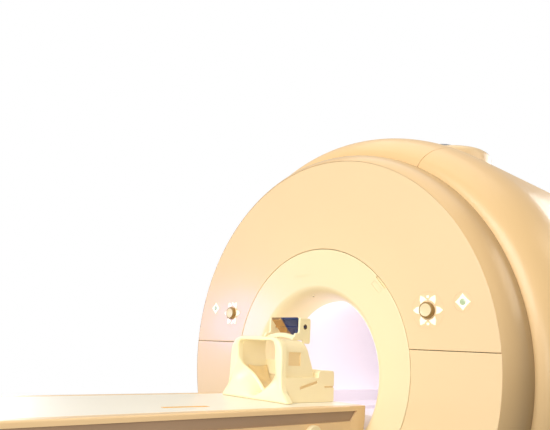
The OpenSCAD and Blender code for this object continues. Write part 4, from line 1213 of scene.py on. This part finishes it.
def build_controls():
    """Key carriers, knobs, petal keys and stop keys on both sides."""
    p = plan()
    front = p.front
    proud, deep = front - KEY_RISE, front + KEY_DEPTH
    mark = [(0.043, -0.0058), (0.052, -0.0045), (0.052, 0.0045), (0.043, 0.0058)]
    dome = [(0.0, front - 0.0030), (0.006, front - 0.0028), (0.010, front - 0.0022), (0.0125, front - 0.0012),
            (0.0125, front), (0.0, front)]
    for side, word in ((-1, "left"), (1, "right")):
        knob, stop = p.knob[side], p.stop[side]
        plate = carrier_plate(p, side, f"key_plate_{word}")
        dress(smooth(plate), "gantry", "cover", "cover", nodes=[f"carrier_{word}"])
        cap = turn_knob(f"turn_knob_{word}", knob, front)
        dress(smooth(cap, 38), f"turn_{word}", "knob", nodes=[f"knob_{word}"])
        for i, turn in enumerate((90, 270)):
            inlay = slab(f"knob_mark_{word}_{i + 1}", [rounded(moved(mark, turn, knob), 0.0015)], "Y",
                         front - 0.0003, front + 0.001, edge=0.0001, rounds=1)
            dress(smooth(inlay), "gantry", "key", "key")
        for i in range(PETALS):
            name = f"petal_{word}_{i + 1}"
            key = slab(name, [moved(petal_outline(), 60 * i, knob)], "Y", proud, deep, edge=0.0007)
            dress(smooth(key), name, "key", "key", nodes=[f"key_{word}_{i + 1}"])
        star = slab(f"stop_key_{word}", [moved(star_outline(), 0, stop)], "Y", proud, deep, edge=0.0008)
        lens = revolve(f"stop_lens_{word}", dome, 0.0, steps=48)
        lens.data.transform(Matrix.Translation((stop.x, 0, stop.z)))
        dress(smooth(star), f"stopkey_{word}", "key", "key", nodes=[f"stop_{word}"])
        dress(smooth(lens), f"stopkey_{word}", "key", "lens")


# Table

# Groove in the table's sides: its lower and upper edge under the top, and its depth
GROOVE_LOW, GROOVE_HIGH, GROOVE_DEPTH = 0.052, 0.017, 0.009
STRIP_HALF_WIDTH, STRIP_HALF_LENGTH = 0.012, 0.082
STRIP_SPOT, STRIP_TURN = (0.150, -1.509, 0), math.radians(-3.0)


def build_tabletop():
    """Sliding tabletop with its index strip."""
    low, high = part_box("tabletop")
    half, z = high.x, high.z
    right = [(half, z), (half, z - 0.014), (half - 0.012, z - 0.036), (half - 0.018, z - 0.040)]
    left = [(-x, z) for x, z in right]
    outline = [left[1], left[0], *right, left[3], left[2]]
    top = slab("sliding_top", [rounded(outline, [0.003, 0.004, 0.004, 0.003, 0.002, 0.002, 0.002, 0.002])],
               "Y", low.y, high.y, edge=0.003)
    dress(smooth(top), "top", "deck", "deck", nodes=["tabletop"])
    corners = box_outline(-STRIP_HALF_WIDTH, -STRIP_HALF_LENGTH, STRIP_HALF_WIDTH, STRIP_HALF_LENGTH)
    strip = slab("index_strip", [rounded(corners, 0.004)], "Z", z - 0.0004, z + 0.0003, edge=0.0001)
    strip.data.transform(Matrix.Translation(STRIP_SPOT) @ Matrix.Rotation(STRIP_TURN, 4, "Z"))
    dress(strip, "top", "deck", "strip")


def sided(side, near, far):
    """Lower and upper X of a span that runs outwards on one side."""
    return sorted((side * near, side * far))


def rail_outline(side):
    """Section of a side rail with its lip."""
    lower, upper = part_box("side_right")
    half, top, low = upper.x, upper.z, lower.z
    inner = half - 0.038
    points = [(inner, top - 0.010), (inner, top), (half, top), (half, low + 0.010), (half - 0.010, low),
              (half - 0.020, low), (half - 0.020, low + 0.005), (half - 0.014, low + 0.010),
              (half - 0.013, top - 0.010)]
    radii = [0, 0.0015, 0.006, 0.018, 0.010, 0, 0.001, 0.003, 0.001]
    return [(side * x, z) for x, z in rounded(points, radii, 6)]


def build_side_rail(side, word):
    """Side rail with its long groove, which ends in a slant at the foot end."""
    low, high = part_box(f"side_{word}")
    half = max(abs(low.x), abs(high.x))
    z0, z1 = high.z - GROOVE_LOW, high.z - GROOVE_HIGH
    rail = slab(f"side_rail_{word}", [rail_outline(side)], "Y", low.y, high.y, edge=0.0008)
    outline = [(low.y + 0.090, z0), (high.y + 0.002, z0), (high.y + 0.002, z1), (low.y + 0.110, z1)]
    cut(rail, slab("groove", [outline], "X", *sided(side, half - GROOVE_DEPTH, half + 0.01), edge=0.0))
    coat(rail, "rail", "groove")
    floor = half - GROOVE_DEPTH + 0.0001
    tint_faces(rail, lambda c: abs(abs(c.x) - floor) < 0.0005 and z0 < c.z < z1)
    dress(smooth(rail), "table", "rail", nodes=[f"side_{word}"])


def build_end_block():
    """Block at the gantry end, with the grooves' slanted ends and a facet that widens toward each corner."""
    low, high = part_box("end_block")
    z0, z1 = high.z - GROOVE_LOW, high.z - GROOVE_HIGH
    end = refined("end_block_cover", "end_block")
    slot = [(low.y - 0.002, z0), (low.y + 0.004, z0), (low.y + 0.034, z1), (low.y - 0.002, z1)]
    lean = Matrix.Rotation(math.radians(15.4), 4, "Z") @ Matrix.Rotation(math.radians(8.1), 4, "Y")
    tools = []
    for side in (-1, 1):
        tools.append(slab("slot", [slot], "X", *sided(side, high.x - GROOVE_DEPTH, high.x + 0.01), edge=0.0))
        facet = block("facet", (0, -0.2, -0.3), (0.06, 0.2, 0.06))
        facet.data.transform(Matrix.Translation((high.x, high.y, high.z - 0.001)) @ lean)
        if side < 0:
            facet.data.transform(Matrix.Scale(-1, 4, (1, 0, 0)))
            facet.data.flip_normals()
        tools.append(facet)
    cut(end, *tools)
    soften(end, 0.0025, 3, 35)
    coat(end, "rail", "groove")
    wall, spare = high.x - 0.006, 0.003
    tint_faces(end, lambda c: wall - 0.005 < abs(c.x) < wall and z0 - spare < c.z < z1 + spare
               and c.y < low.y + 0.040)
    dress(smooth(end), "table", "rail", nodes=["end_block"])


def build_rails():
    """Side rails with their long grooves, the blocks at both ends of the table and the release knob."""
    for side, word in ((-1, "left"), (1, "right")):
        build_side_rail(side, word)
    build_end_block()
    skin("tail_block_cover", "tail_block", "table", "rail", "rail", 0.003)
    skin("release_wheel", "release_knob", "release", "knob", "knob", 0.0008, 2)


def build_column():
    """Telescopic column tubes and the floor plate."""
    for node, body in (("column_fixed", "gantry"), ("column_stage", "stage"), ("column_inner", "table")):
        skin(node + "_skin", node, body, "column", "column", 0.0015, 2)
    skin("table_floor_plate", "table_base", "gantry", "base_steel", "base_steel", 0.003)


# Head coil


def spread(points, count):
    """Smooth closed curve through points, as values at even steps."""
    size = len(points)
    result = []
    for i in range(count):
        place = i * size / count
        k, t = int(place), place - int(place)
        a, b, c, d = (Vector(points[(k + n) % size]) for n in (-1, 0, 1, 2))
        bend, ease = 2 * a - 5 * b + 4 * c - d, 3 * b - a - 3 * c + d
        result.append(0.5 * ((2 * b) + (c - a) * t + bend * t ** 2 + ease * t ** 3))
    return result


def arch_stations():
    """Stations round the arch, in mm: outer point, inner point, how far back the inner edge lies."""
    half = [
        (0, 0, 0, 32, 60), (70, 0, 30, 61, 56), (140, 0, 61, 92, 48), (184, 1, 86, 116, 28),
        (178, 16, 97, 130, 15), (155, 44, 103, 146, 9), (149, 90, 105, 160, 5), (148, 150, 106, 182, 3),
        (144, 188, 104, 201, 0), (126, 216, 96, 212, 0), (95, 229, 78, 216, 0), (50, 230, 40, 216, 0),
    ]
    top = (0, 230, 0, 216, 0)
    mirrored = [(-a, b, -c, d, e) for a, b, c, d, e in half[:0:-1]]
    return half + [top] + mirrored


# Arch: stations round it, rounding of its front edges, and how late its scoop sets in
ARCH_STATIONS, ARCH_TURN, SCOOP_POWER = 168, 0.009, 3.2


def build_arch(base, front, back):
    """Broad loop with rounded shoulders and flared feet, whose lower part scoops back into the trough."""
    rings = []
    rows = [tuple(v * 0.001 for v in row) for row in spread(arch_stations(), ARCH_STATIONS)]
    bends = [math.radians(90 * k / 5) for k in range(6)]
    for i, (outer_x, outer_z, inner_x, inner_z, e) in enumerate(rows):
        outer, inner = Vector((outer_x, max(outer_z, 0.0))), Vector((inner_x, inner_z))
        size = (inner - outer).length
        way = (inner - outer) / size
        run = Vector(rows[(i + 1) % len(rows)][:2]) - Vector(rows[i - 1][:2])
        inward = Vector((-run.y, run.x)).normalized()
        turn = min(ARCH_TURN, 0.4 * size)
        deep = max(front + e + turn, back) + (0.002 if e > 0.02 else 0.0)
        start, end = outer + inward * turn, outer + way * (size - turn)
        ring = [(outer + inward * 0.002, back), (outer, back - 0.002)]
        ring += [(outer + inward * turn * (1 - math.cos(v)), front + turn * (1 - math.sin(v))) for v in bends]
        ring += [(start.lerp(end, k / 8), front + e * (k / 8) ** SCOOP_POWER) for k in range(1, 8)]
        ring += [(end + way * turn * math.sin(v), front + e + turn * (1 - math.cos(v))) for v in bends]
        ring += [(inner, deep - 0.001), (inner - way * 0.001, deep), (start, back)]
        rings.append([(spot.x, y, base + max(spot.y, 0.0)) for spot, y in ring])
    return piece("coil_loop", [v for ring in rings for v in ring], row_faces(len(rings), len(rings[0])))


def mirror_holder():
    """Two cheeks with feet on the housing, a curved saddle and a bar behind the mirror's upper edge."""
    low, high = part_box("mirror_frame")
    under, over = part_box("mirror_glass")
    y, z = (under.y + over.y) / 2 - 0.001, (under.z + over.z) / 2 - 0.001
    outer, base = high.x - 0.001, low.z
    back, head = y + 0.030, over.z - 0.002
    outline = [(low.y, base), (low.y, base + 0.008), (y - 0.058, base + 0.012), (y - 0.050, base + 0.026),
               (y - 0.030, base + 0.026), (y - 0.030, head), (back, head), (back, base - 0.012),
               (back - 0.034, base - 0.012), (back - 0.040, base)]
    outline = rounded(outline, [0.003, 0.003, 0.010, 0.006, 0.012, 0.009, 0.009, 0.008, 0.003, 0.003], 6)
    parts = []
    for side in (-1, 1):
        cheek = slab("cheek", [outline], "X", *sided(side, outer - 0.010, outer), edge=0.0022)
        eye = bar("eye", (side * (outer - 0.0045), y, z), (side * (outer + 0.01), y, z), 0.010, 64)
        pin_hole = bar("pin_hole", (side * (outer - 0.02), y, z), (side * (outer + 0.02), y, z), 0.0045)
        parts.append(cut(cheek, eye, pin_hole))
    inner = outer - 0.0105
    lip = [(x, base + 0.027 - x * x / 0.44) for x in (inner * (i / 12 - 1) for i in range(25))]
    lower = [(x, height - 0.017) for x, height in lip[::-1]]
    saddle = slab("saddle", [lip + lower], "Y", y - 0.047, y - 0.032, edge=0.0025)
    rod_outline = [(back - 0.014, head - 0.012), (back - 0.014, head - 0.001), (back - 0.001, head - 0.001),
                   (back - 0.001, head - 0.012)]
    rod = slab("bar", [rounded(rod_outline, 0.003)], "X", -inner, inner, edge=0.0004)
    return joined("mirror_holder", *parts, saddle, rod)


def build_coil():
    """Head coil: arch, base, housing, mirror holder and mirror."""
    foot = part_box("coil_arch")[0]
    arch = build_arch(foot.z, foot.y, foot.y + 0.0295)
    dress(smooth(arch, 40), "top", "coil_front", "arch", nodes=["coil_arch"])
    base = refined("coil_lower_housing", "coil_base", 0.003, 3)
    shell = refined("coil_upper_housing", "coil_shell", 0.004, 3)
    holder = mirror_holder()
    flank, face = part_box("coil_base")[1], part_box("coil_shell")[1].x
    cheek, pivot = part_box("mirror_frame")[1].x - 0.001, middle("mirror_glass")

    def in_slots(c):
        """Whether a face lies in the base's slots."""
        return (flank.x - 0.0078 < abs(c.x) < flank.x - 0.0012 and foot.z + 0.044 < c.z < foot.z + 0.080
                and c.y < flank.y - 0.004)

    def in_grip(c):
        """Whether a face lies in the housing's grip."""
        return (face - 0.0065 < abs(c.x) < face - 0.0012 and foot.z + 0.128 < c.z < foot.z + 0.180
                and foot.y + 0.045 < c.y < foot.y + 0.118)

    # Painted shade: faces in this recess get the dark gap finish
    def in_eye(c):
        """Whether a face lies in the round recess of a cheek."""
        return cheek - 0.006 < abs(c.x) < cheek - 0.0005 and math.hypot(c.y - pivot.y, c.z - pivot.z) < 0.0105

    # Painted shade: the base's slots and the housing's grip get the darker hollow finish, the cheeks' round
    # recesses the dark gap finish
    for part, skins, hollow, slot, node in (
        (base, ("coil", "hollow"), in_slots, "coil", "coil_base"),
        (shell, ("coil", "hollow"), in_grip, "coil", "coil_shell"),
        (holder, ("arch", "gap"), in_eye, "mirror_arm", "mirror_frame"),
    ):
        tint_faces(coat(part, *skins), hollow)
        dress(smooth(part), "top", slot, nodes=[node])
    skin("tilting_mirror", "mirror_glass", "mirror", "mirror", "glass", 0.0008, 2)


def cushion_side(s, power=4.5):
    """Fullness of a cushion across its width: one in the middle, none at the rims."""
    return max(0.0, 1 - abs(s) ** power) ** 0.45


def piping(name, path, radius, sides=8):
    """Thin round cord along a closed path."""
    verts = []
    for i, here in enumerate(path):
        way = (path[(i + 1) % len(path)] - path[i - 1]).normalized()
        side = way.cross(Vector((0, 0, 1)))
        side = side.normalized() if side.length > 0.01 else Vector((1, 0, 0))
        up = side.cross(way)
        for k in range(sides):
            turn = math.tau * k / sides
            verts.append(here + radius * (side * math.cos(turn) + up * math.sin(turn)))
    return piece(name, verts, row_faces(len(path), sides))


def build_pad():
    """Headrest pad: a crowned cushion bent into the trough, with three stitched channels and a corded rim."""
    low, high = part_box("coil_cushion")
    drop, rim, crown, floor = 0.020, 0.0075, 0.011, 0.0006
    radius = (high.x ** 2 + drop ** 2) ** 0.5
    spread_angle = math.acos(drop / radius) - 0.02
    half, middle_y = (high.y - low.y) / 2 - 0.0015, (high.y + low.y) / 2
    across, along = 64, 26

    def spot(u, v, lift):
        """Point of the cushion, from its place across and along and how far it lies off the trough."""
        waist = 1 - 0.035 * (1 - u * u)
        angle = u * spread_angle * (1 - 0.03 * (1 - v * v))
        reach = radius - lift
        height = high.z + drop - reach * math.cos(angle)
        return Vector((reach * math.sin(angle), middle_y + v * half * waist, height))

    def lift_of(face, u, v):
        """How far the top (0) or the underside (1) lies off the trough."""
        if face:
            return rim - (rim - floor) * cushion_side(u) * cushion_side(v)
        channel = sum(math.exp(-((u - place) / 0.022) ** 2) for place in (-0.5, 0.0, 0.5))
        return rim + crown * (cushion_side(u) * cushion_side(v, 3.5) * (1 - 0.30 * channel))

    verts, grid = [], {}
    for i in range(across + 1):
        for j in range(along + 1):
            u, v = (math.sin(math.pi / 2 * (2 * n / count - 1)) for n, count in ((i, across), (j, along)))
            edge = i in (0, across) or j in (0, along)
            for face in ((0,) if edge else (0, 1)):
                grid[i, j, face] = len(verts)
                verts.append(spot(u, v, lift_of(face, u, v)))
            if edge:
                grid[i, j, 1] = grid[i, j, 0]
    faces = []
    for i in range(across):
        for j in range(along):
            for face in (0, 1):
                quad = [grid[a, b, face] for a, b in ((i, j), (i + 1, j), (i + 1, j + 1), (i, j + 1))]
                faces.append(quad if face else quad[::-1])
    pad = piece("headrest_pad", verts, faces)
    sides = ([(i, 0) for i in range(across)] + [(across, j) for j in range(along)]
             + [(i, along) for i in range(across, 0, -1)] + [(0, j) for j in range(along, 0, -1)])
    cord = piping("headrest_piping", [verts[grid[i, j, 0]] for i, j in sides], 0.0014)
    dress(smooth(cord, 60), "top", "pad", "pad")
    dress(smooth(pad, 60), "top", "pad", "pad", nodes=["coil_cushion"])


# Inner works and fasteners

INNER_WORKS = {
    "magnet_vessel": "stainless", "cold_mass": "windings", "gradient_coil": "epoxy", "body_coil": "copper",
    "cover_frame": "frame_alu", "lift_spindle": "stainless", "table_beam": "beam", "belt": "rubber_belt",
    "motor": "dark_steel", "drive_pulley": "pulley_alu", "idler_pulley": "pulley_alu",
}


def build_inner_works():
    """Finishes of the parts inside the covers."""
    for node, name in INNER_WORKS.items():
        paint(node, name)


def build_fasteners():
    """Anchor bolts of the table and of the magnet."""
    radius, up = sizes().bolt_radius, (0, 0, 1)
    centre = middle("column_fixed").y
    spots = [(x, centre + y, 0.0325) for x in (-0.254, 0.254) for y in (-0.66, 0.66)]
    screws("table_anchor_bolts", spots, up, radius * 0.8, 0.006)
    spots = [(x, y, 0.033) for x in (-0.430, 0.430) for y in (-0.400, 0.400)]
    screws("magnet_anchor_bolts", spots, up, radius, 0.008)


# Stage

PLAIN, WARM = (1.0, 1.0, 1.0), (1.0, 0.86, 0.66)
# Area lamps: place, point they face, width, height, watts and tint
AREA_LAMPS = {
    "front lamp": ((0.6, -7.2, 3.8), (0, -0.8, 1.0), 4.5, 3.0, 325, PLAIN),
    "side lamp": ((5.0, 2.4, 4.2), (0.6, 0.6, 1.0), 3.0, 3.0, 80, WARM),
    "top lamp": ((0, -0.5, 6.0), (0, 0, 0), 5.0, 5.0, 90, (1.0, 0.95, 0.87)),
    "rear lamp": ((1.5, 6.0, 3.5), (0, 0.8, 1.0), 4.0, 3.0, 150, PLAIN),
    "left lamp": ((-6.0, -1.0, 3.0), (0, 0, 1.0), 3.0, 3.0, 110, (0.93, 0.92, 1.0)),
    "table lamp": ((2.6, -3.6, 1.3), (0.3, -2.2, 0.8), 0.9, 0.9, 14, PLAIN),
}
# Spot lamps: place, point they face, cone in degrees, watts and tint
SPOT_LAMPS = {
    "coil lamp": ((2.0, -2.9, 1.35), (0.15, -1.45, 0.90), 48, 60, PLAIN),
    "lilac lamp": ((-2.5, -2.5, 1.3), (-0.70, -0.75, 0.88), 34, 52, (0.30, 0.24, 1.0)),
}
# Surround: its strength as light and to the camera, and how far reflections lie from the first to the second
SURROUND_SOFT, SURROUND_WHITE, MIRRORED_SHARE = 0.24, 1.0, 0.36
# Floor: its half width, the middle of the set, and where its white edge starts and is full
FLOOR_HALF, SET_MIDDLE, FLOOR_FADE = 14, (0, -1.0, 0), (2.4, 5.2)


def blended(tree, share, first, second, end):
    """Mixes two shaders and links the result to the end of the tree."""
    both = tree.nodes.new("ShaderNodeMixShader")
    for socket, value in zip(both.inputs, (share, first.outputs[0], second.outputs[0])):
        feed(tree, socket, value)
    feed(tree, end.inputs[0], both.outputs[0])


def build_floor():
    """Pale floor that turns white away from the scanner, as the camera sees it."""
    h = FLOOR_HALF
    mesh = bpy.data.meshes.new("floor")
    mesh.from_pydata([(-h, -h, 0), (h, -h, 0), (h, h, 0), (-h, h, 0)], [], [(0, 1, 2, 3)])
    ground = link(bpy.data.objects.new("floor", mesh))
    material = bpy.data.materials.new("floor")
    material.use_nodes = True
    tree = material.node_tree
    shader = tree.nodes["Principled BSDF"]
    seen = tree.nodes.new("ShaderNodeLightPath").outputs["Is Camera Ray"]
    surface = mixed(tree, seen, rgba((178, 176, 172)), rgba((234, 232, 229)))
    fill(tree, shader, {"Base Color": surface, "Roughness": 0.7, "Specular IOR Level": 0.1})
    place = tree.nodes.new("ShaderNodeTexCoord").outputs["Object"]
    reach = vectored(tree, "LENGTH", vectored(tree, "SUBTRACT", place, SET_MIDDLE))
    away = mathed(tree, "MULTIPLY", ranged(tree, reach, *FLOOR_FADE), seen)
    glow = add(tree, "ShaderNodeEmission", Color=(1, 1, 1, 1), Strength=1.0)
    blended(tree, away, shader, glow, tree.nodes["Material Output"])
    mesh.materials.append(material)


def add_lamp(name, kind, place, aim, energy, tint):
    """Lamp at a place, turned toward a point."""
    data = bpy.data.lights.new(name, kind)
    data.energy, data.color = energy, tint
    lamp = link(bpy.data.objects.new(name, data))
    lamp.location = place
    if aim:
        lamp.rotation_euler = (Vector(aim) - Vector(place)).to_track_quat("-Z", "Y").to_euler()
    return data


def build_lamps():
    """Broad soft lamps round the scanner, two spots and a small lamp in the bore."""
    for name, (place, aim, width, height, power, tint) in AREA_LAMPS.items():
        data = add_lamp(name, "AREA", place, aim, power, tint)
        data.shape, data.size, data.size_y = "RECTANGLE", width, height
    for name, (place, aim, cone, power, tint) in SPOT_LAMPS.items():
        data = add_lamp(name, "SPOT", place, aim, power, tint)
        data.shadow_soft_size, data.spot_size, data.spot_blend = 0.3, math.radians(cone), 1.0
    add_lamp("bore lamp", "POINT", (0, -0.60, 1.13), None, 0.8, (1.0, 0.97, 1.0)).shadow_soft_size = 0.12


def build_surround():
    """Surround that is white to the camera, dimmer in reflections and soft as light."""
    world = bpy.data.worlds.new("surround")
    world.use_nodes = True
    bpy.context.scene.world = world
    tree = world.node_tree
    tree.nodes.clear()
    seen = tree.nodes.new("ShaderNodeLightPath").outputs
    mirrored = mathed(tree, "MULTIPLY", seen["Is Glossy Ray"], MIRRORED_SHARE)
    clear = mathed(tree, "MAXIMUM", seen["Is Camera Ray"], seen["Is Transmission Ray"])
    soft, white = (add(tree, "ShaderNodeBackground", Color=(1, 1, 1, 1), Strength=strength)
                   for strength in (SURROUND_SOFT, SURROUND_WHITE))
    end = tree.nodes.new("ShaderNodeOutputWorld")
    blended(tree, mathed(tree, "MAXIMUM", clear, mirrored), soft, white, end)


def build_stage():
    """Floor, lamps, white surround and the camera."""
    build_floor()
    build_lamps()
    build_surround()
    bpy.context.scene.view_settings.view_transform = "Standard"
    place_camera()


def place_camera():
    """Camera at the photograph's viewing angle."""
    yaw, pitch, roll = (math.radians(v) for v in (48.2414, 12.8649, 2.8934))
    eye, focal, picture = (1.7186, -2.5806, 1.0870), 580.9945, 550.0
    data = bpy.data.cameras.new("camera")
    data.sensor_width = 36.0
    data.lens = focal / picture * data.sensor_width
    camera = link(bpy.data.objects.new("camera", data))
    ahead = Vector((-math.sin(yaw) * math.cos(pitch), math.cos(yaw) * math.cos(pitch), math.sin(pitch)))
    right = Vector((math.cos(yaw), math.sin(yaw), 0))
    up = right.cross(ahead)
    across = right * math.cos(roll) + up * math.sin(roll)
    upright = up * math.cos(roll) - right * math.sin(roll)
    turn = Matrix((across, upright, -ahead)).transposed().to_4x4()
    camera.matrix_world = Matrix.Translation(eye) @ turn
    bpy.context.scene.camera = camera


# Operators, panel and registration


def operator(idname, label, text, build):
    """Operator class that runs one build function."""

    def execute(self, context):
        """Builds the pieces of this step."""
        build()
        return {"FINISHED"}

    return type(
        "SCANNER_OT_" + idname,
        (bpy.types.Operator,),
        {"bl_idname": "scanner." + idname, "bl_label": label, "__doc__": text,
         "bl_options": {"REGISTER", "UNDO"}, "execute": execute},
    )


OPERATORS = [
    operator("mouth_rings", "Mouth Rings", "Builds the flared rings at both ends of the bore",
             build_mouth_rings),
    # The bore tube and its bridge glow with painted light
    operator("bore", "Bore", "Builds the glowing bore tube and its bridge", build_bore),
    operator("face", "Face Panels", "Builds the upper and lower face panel", build_face),
    operator("bands", "Side Bands", "Builds the side band and the rear cover", build_bands),
    operator("barrel", "Barrel Covers", "Builds the three barrel covers", build_barrel),
    operator("base_covers", "Base and Turret", "Builds the plinth, the feet, the turret and its hood",
             build_base_covers),
    operator("controls", "Controls", "Builds the knobs and keys on both sides", build_controls),
    operator("tabletop", "Tabletop", "Builds the sliding tabletop", build_tabletop),
    operator("rails", "Table Rails", "Builds the side rails and end blocks", build_rails),
    operator("column", "Column", "Builds the telescopic column and its floor plate", build_column),
    operator("coil", "Head Coil", "Builds the head coil and its mirror", build_coil),
    operator("pad", "Headrest Pad", "Builds the padded headrest", build_pad),
    operator("inner_works", "Inner Works", "Gives the inner parts their finishes", build_inner_works),
    operator("fasteners", "Fasteners", "Builds anchor bolts and screws", build_fasteners),
    operator("stage", "Stage", "Builds the floor, lamps and camera", build_stage),
]


class SCANNER_PT_panel(bpy.types.Panel):
    """Sizes, colours and steps of the scanner."""

    bl_label = "MRI Scanner"
    bl_space_type = "VIEW_3D"
    bl_region_type = "UI"
    bl_category = "Scanner"

    def draw(self, context):
        """Lists the sizes, the colours and the steps."""
        layout = self.layout
        for group in (context.scene.scanner_sizes, context.scene.scanner_colours):
            box = layout.box()
            for name in group.__annotations__:
                box.prop(group, name)
        for kind in OPERATORS:
            layout.operator(kind.bl_idname)


CLASSES = [ScannerSizes, ScannerColours, *OPERATORS, SCANNER_PT_panel]


def register():
    """Registers the classes and gives the scene its sizes and colours."""
    for kind in CLASSES:
        bpy.utils.register_class(kind)
    bpy.types.Scene.scanner_sizes = bpy.props.PointerProperty(type=ScannerSizes)
    bpy.types.Scene.scanner_colours = bpy.props.PointerProperty(type=ScannerColours)


def unregister():
    """Takes back what register did."""
    del bpy.types.Scene.scanner_sizes
    del bpy.types.Scene.scanner_colours
    for kind in reversed(CLASSES):
        bpy.utils.unregister_class(kind)


def main():
    """Builds every piece in order and writes the boxes of the model and of the finished scanner."""
    register()
    for kind in OPERATORS:
        getattr(bpy.ops.scanner, kind.bl_idname.split(".")[1])()
    bpy.context.view_layer.update()


if __name__ == "__main__":
    main()
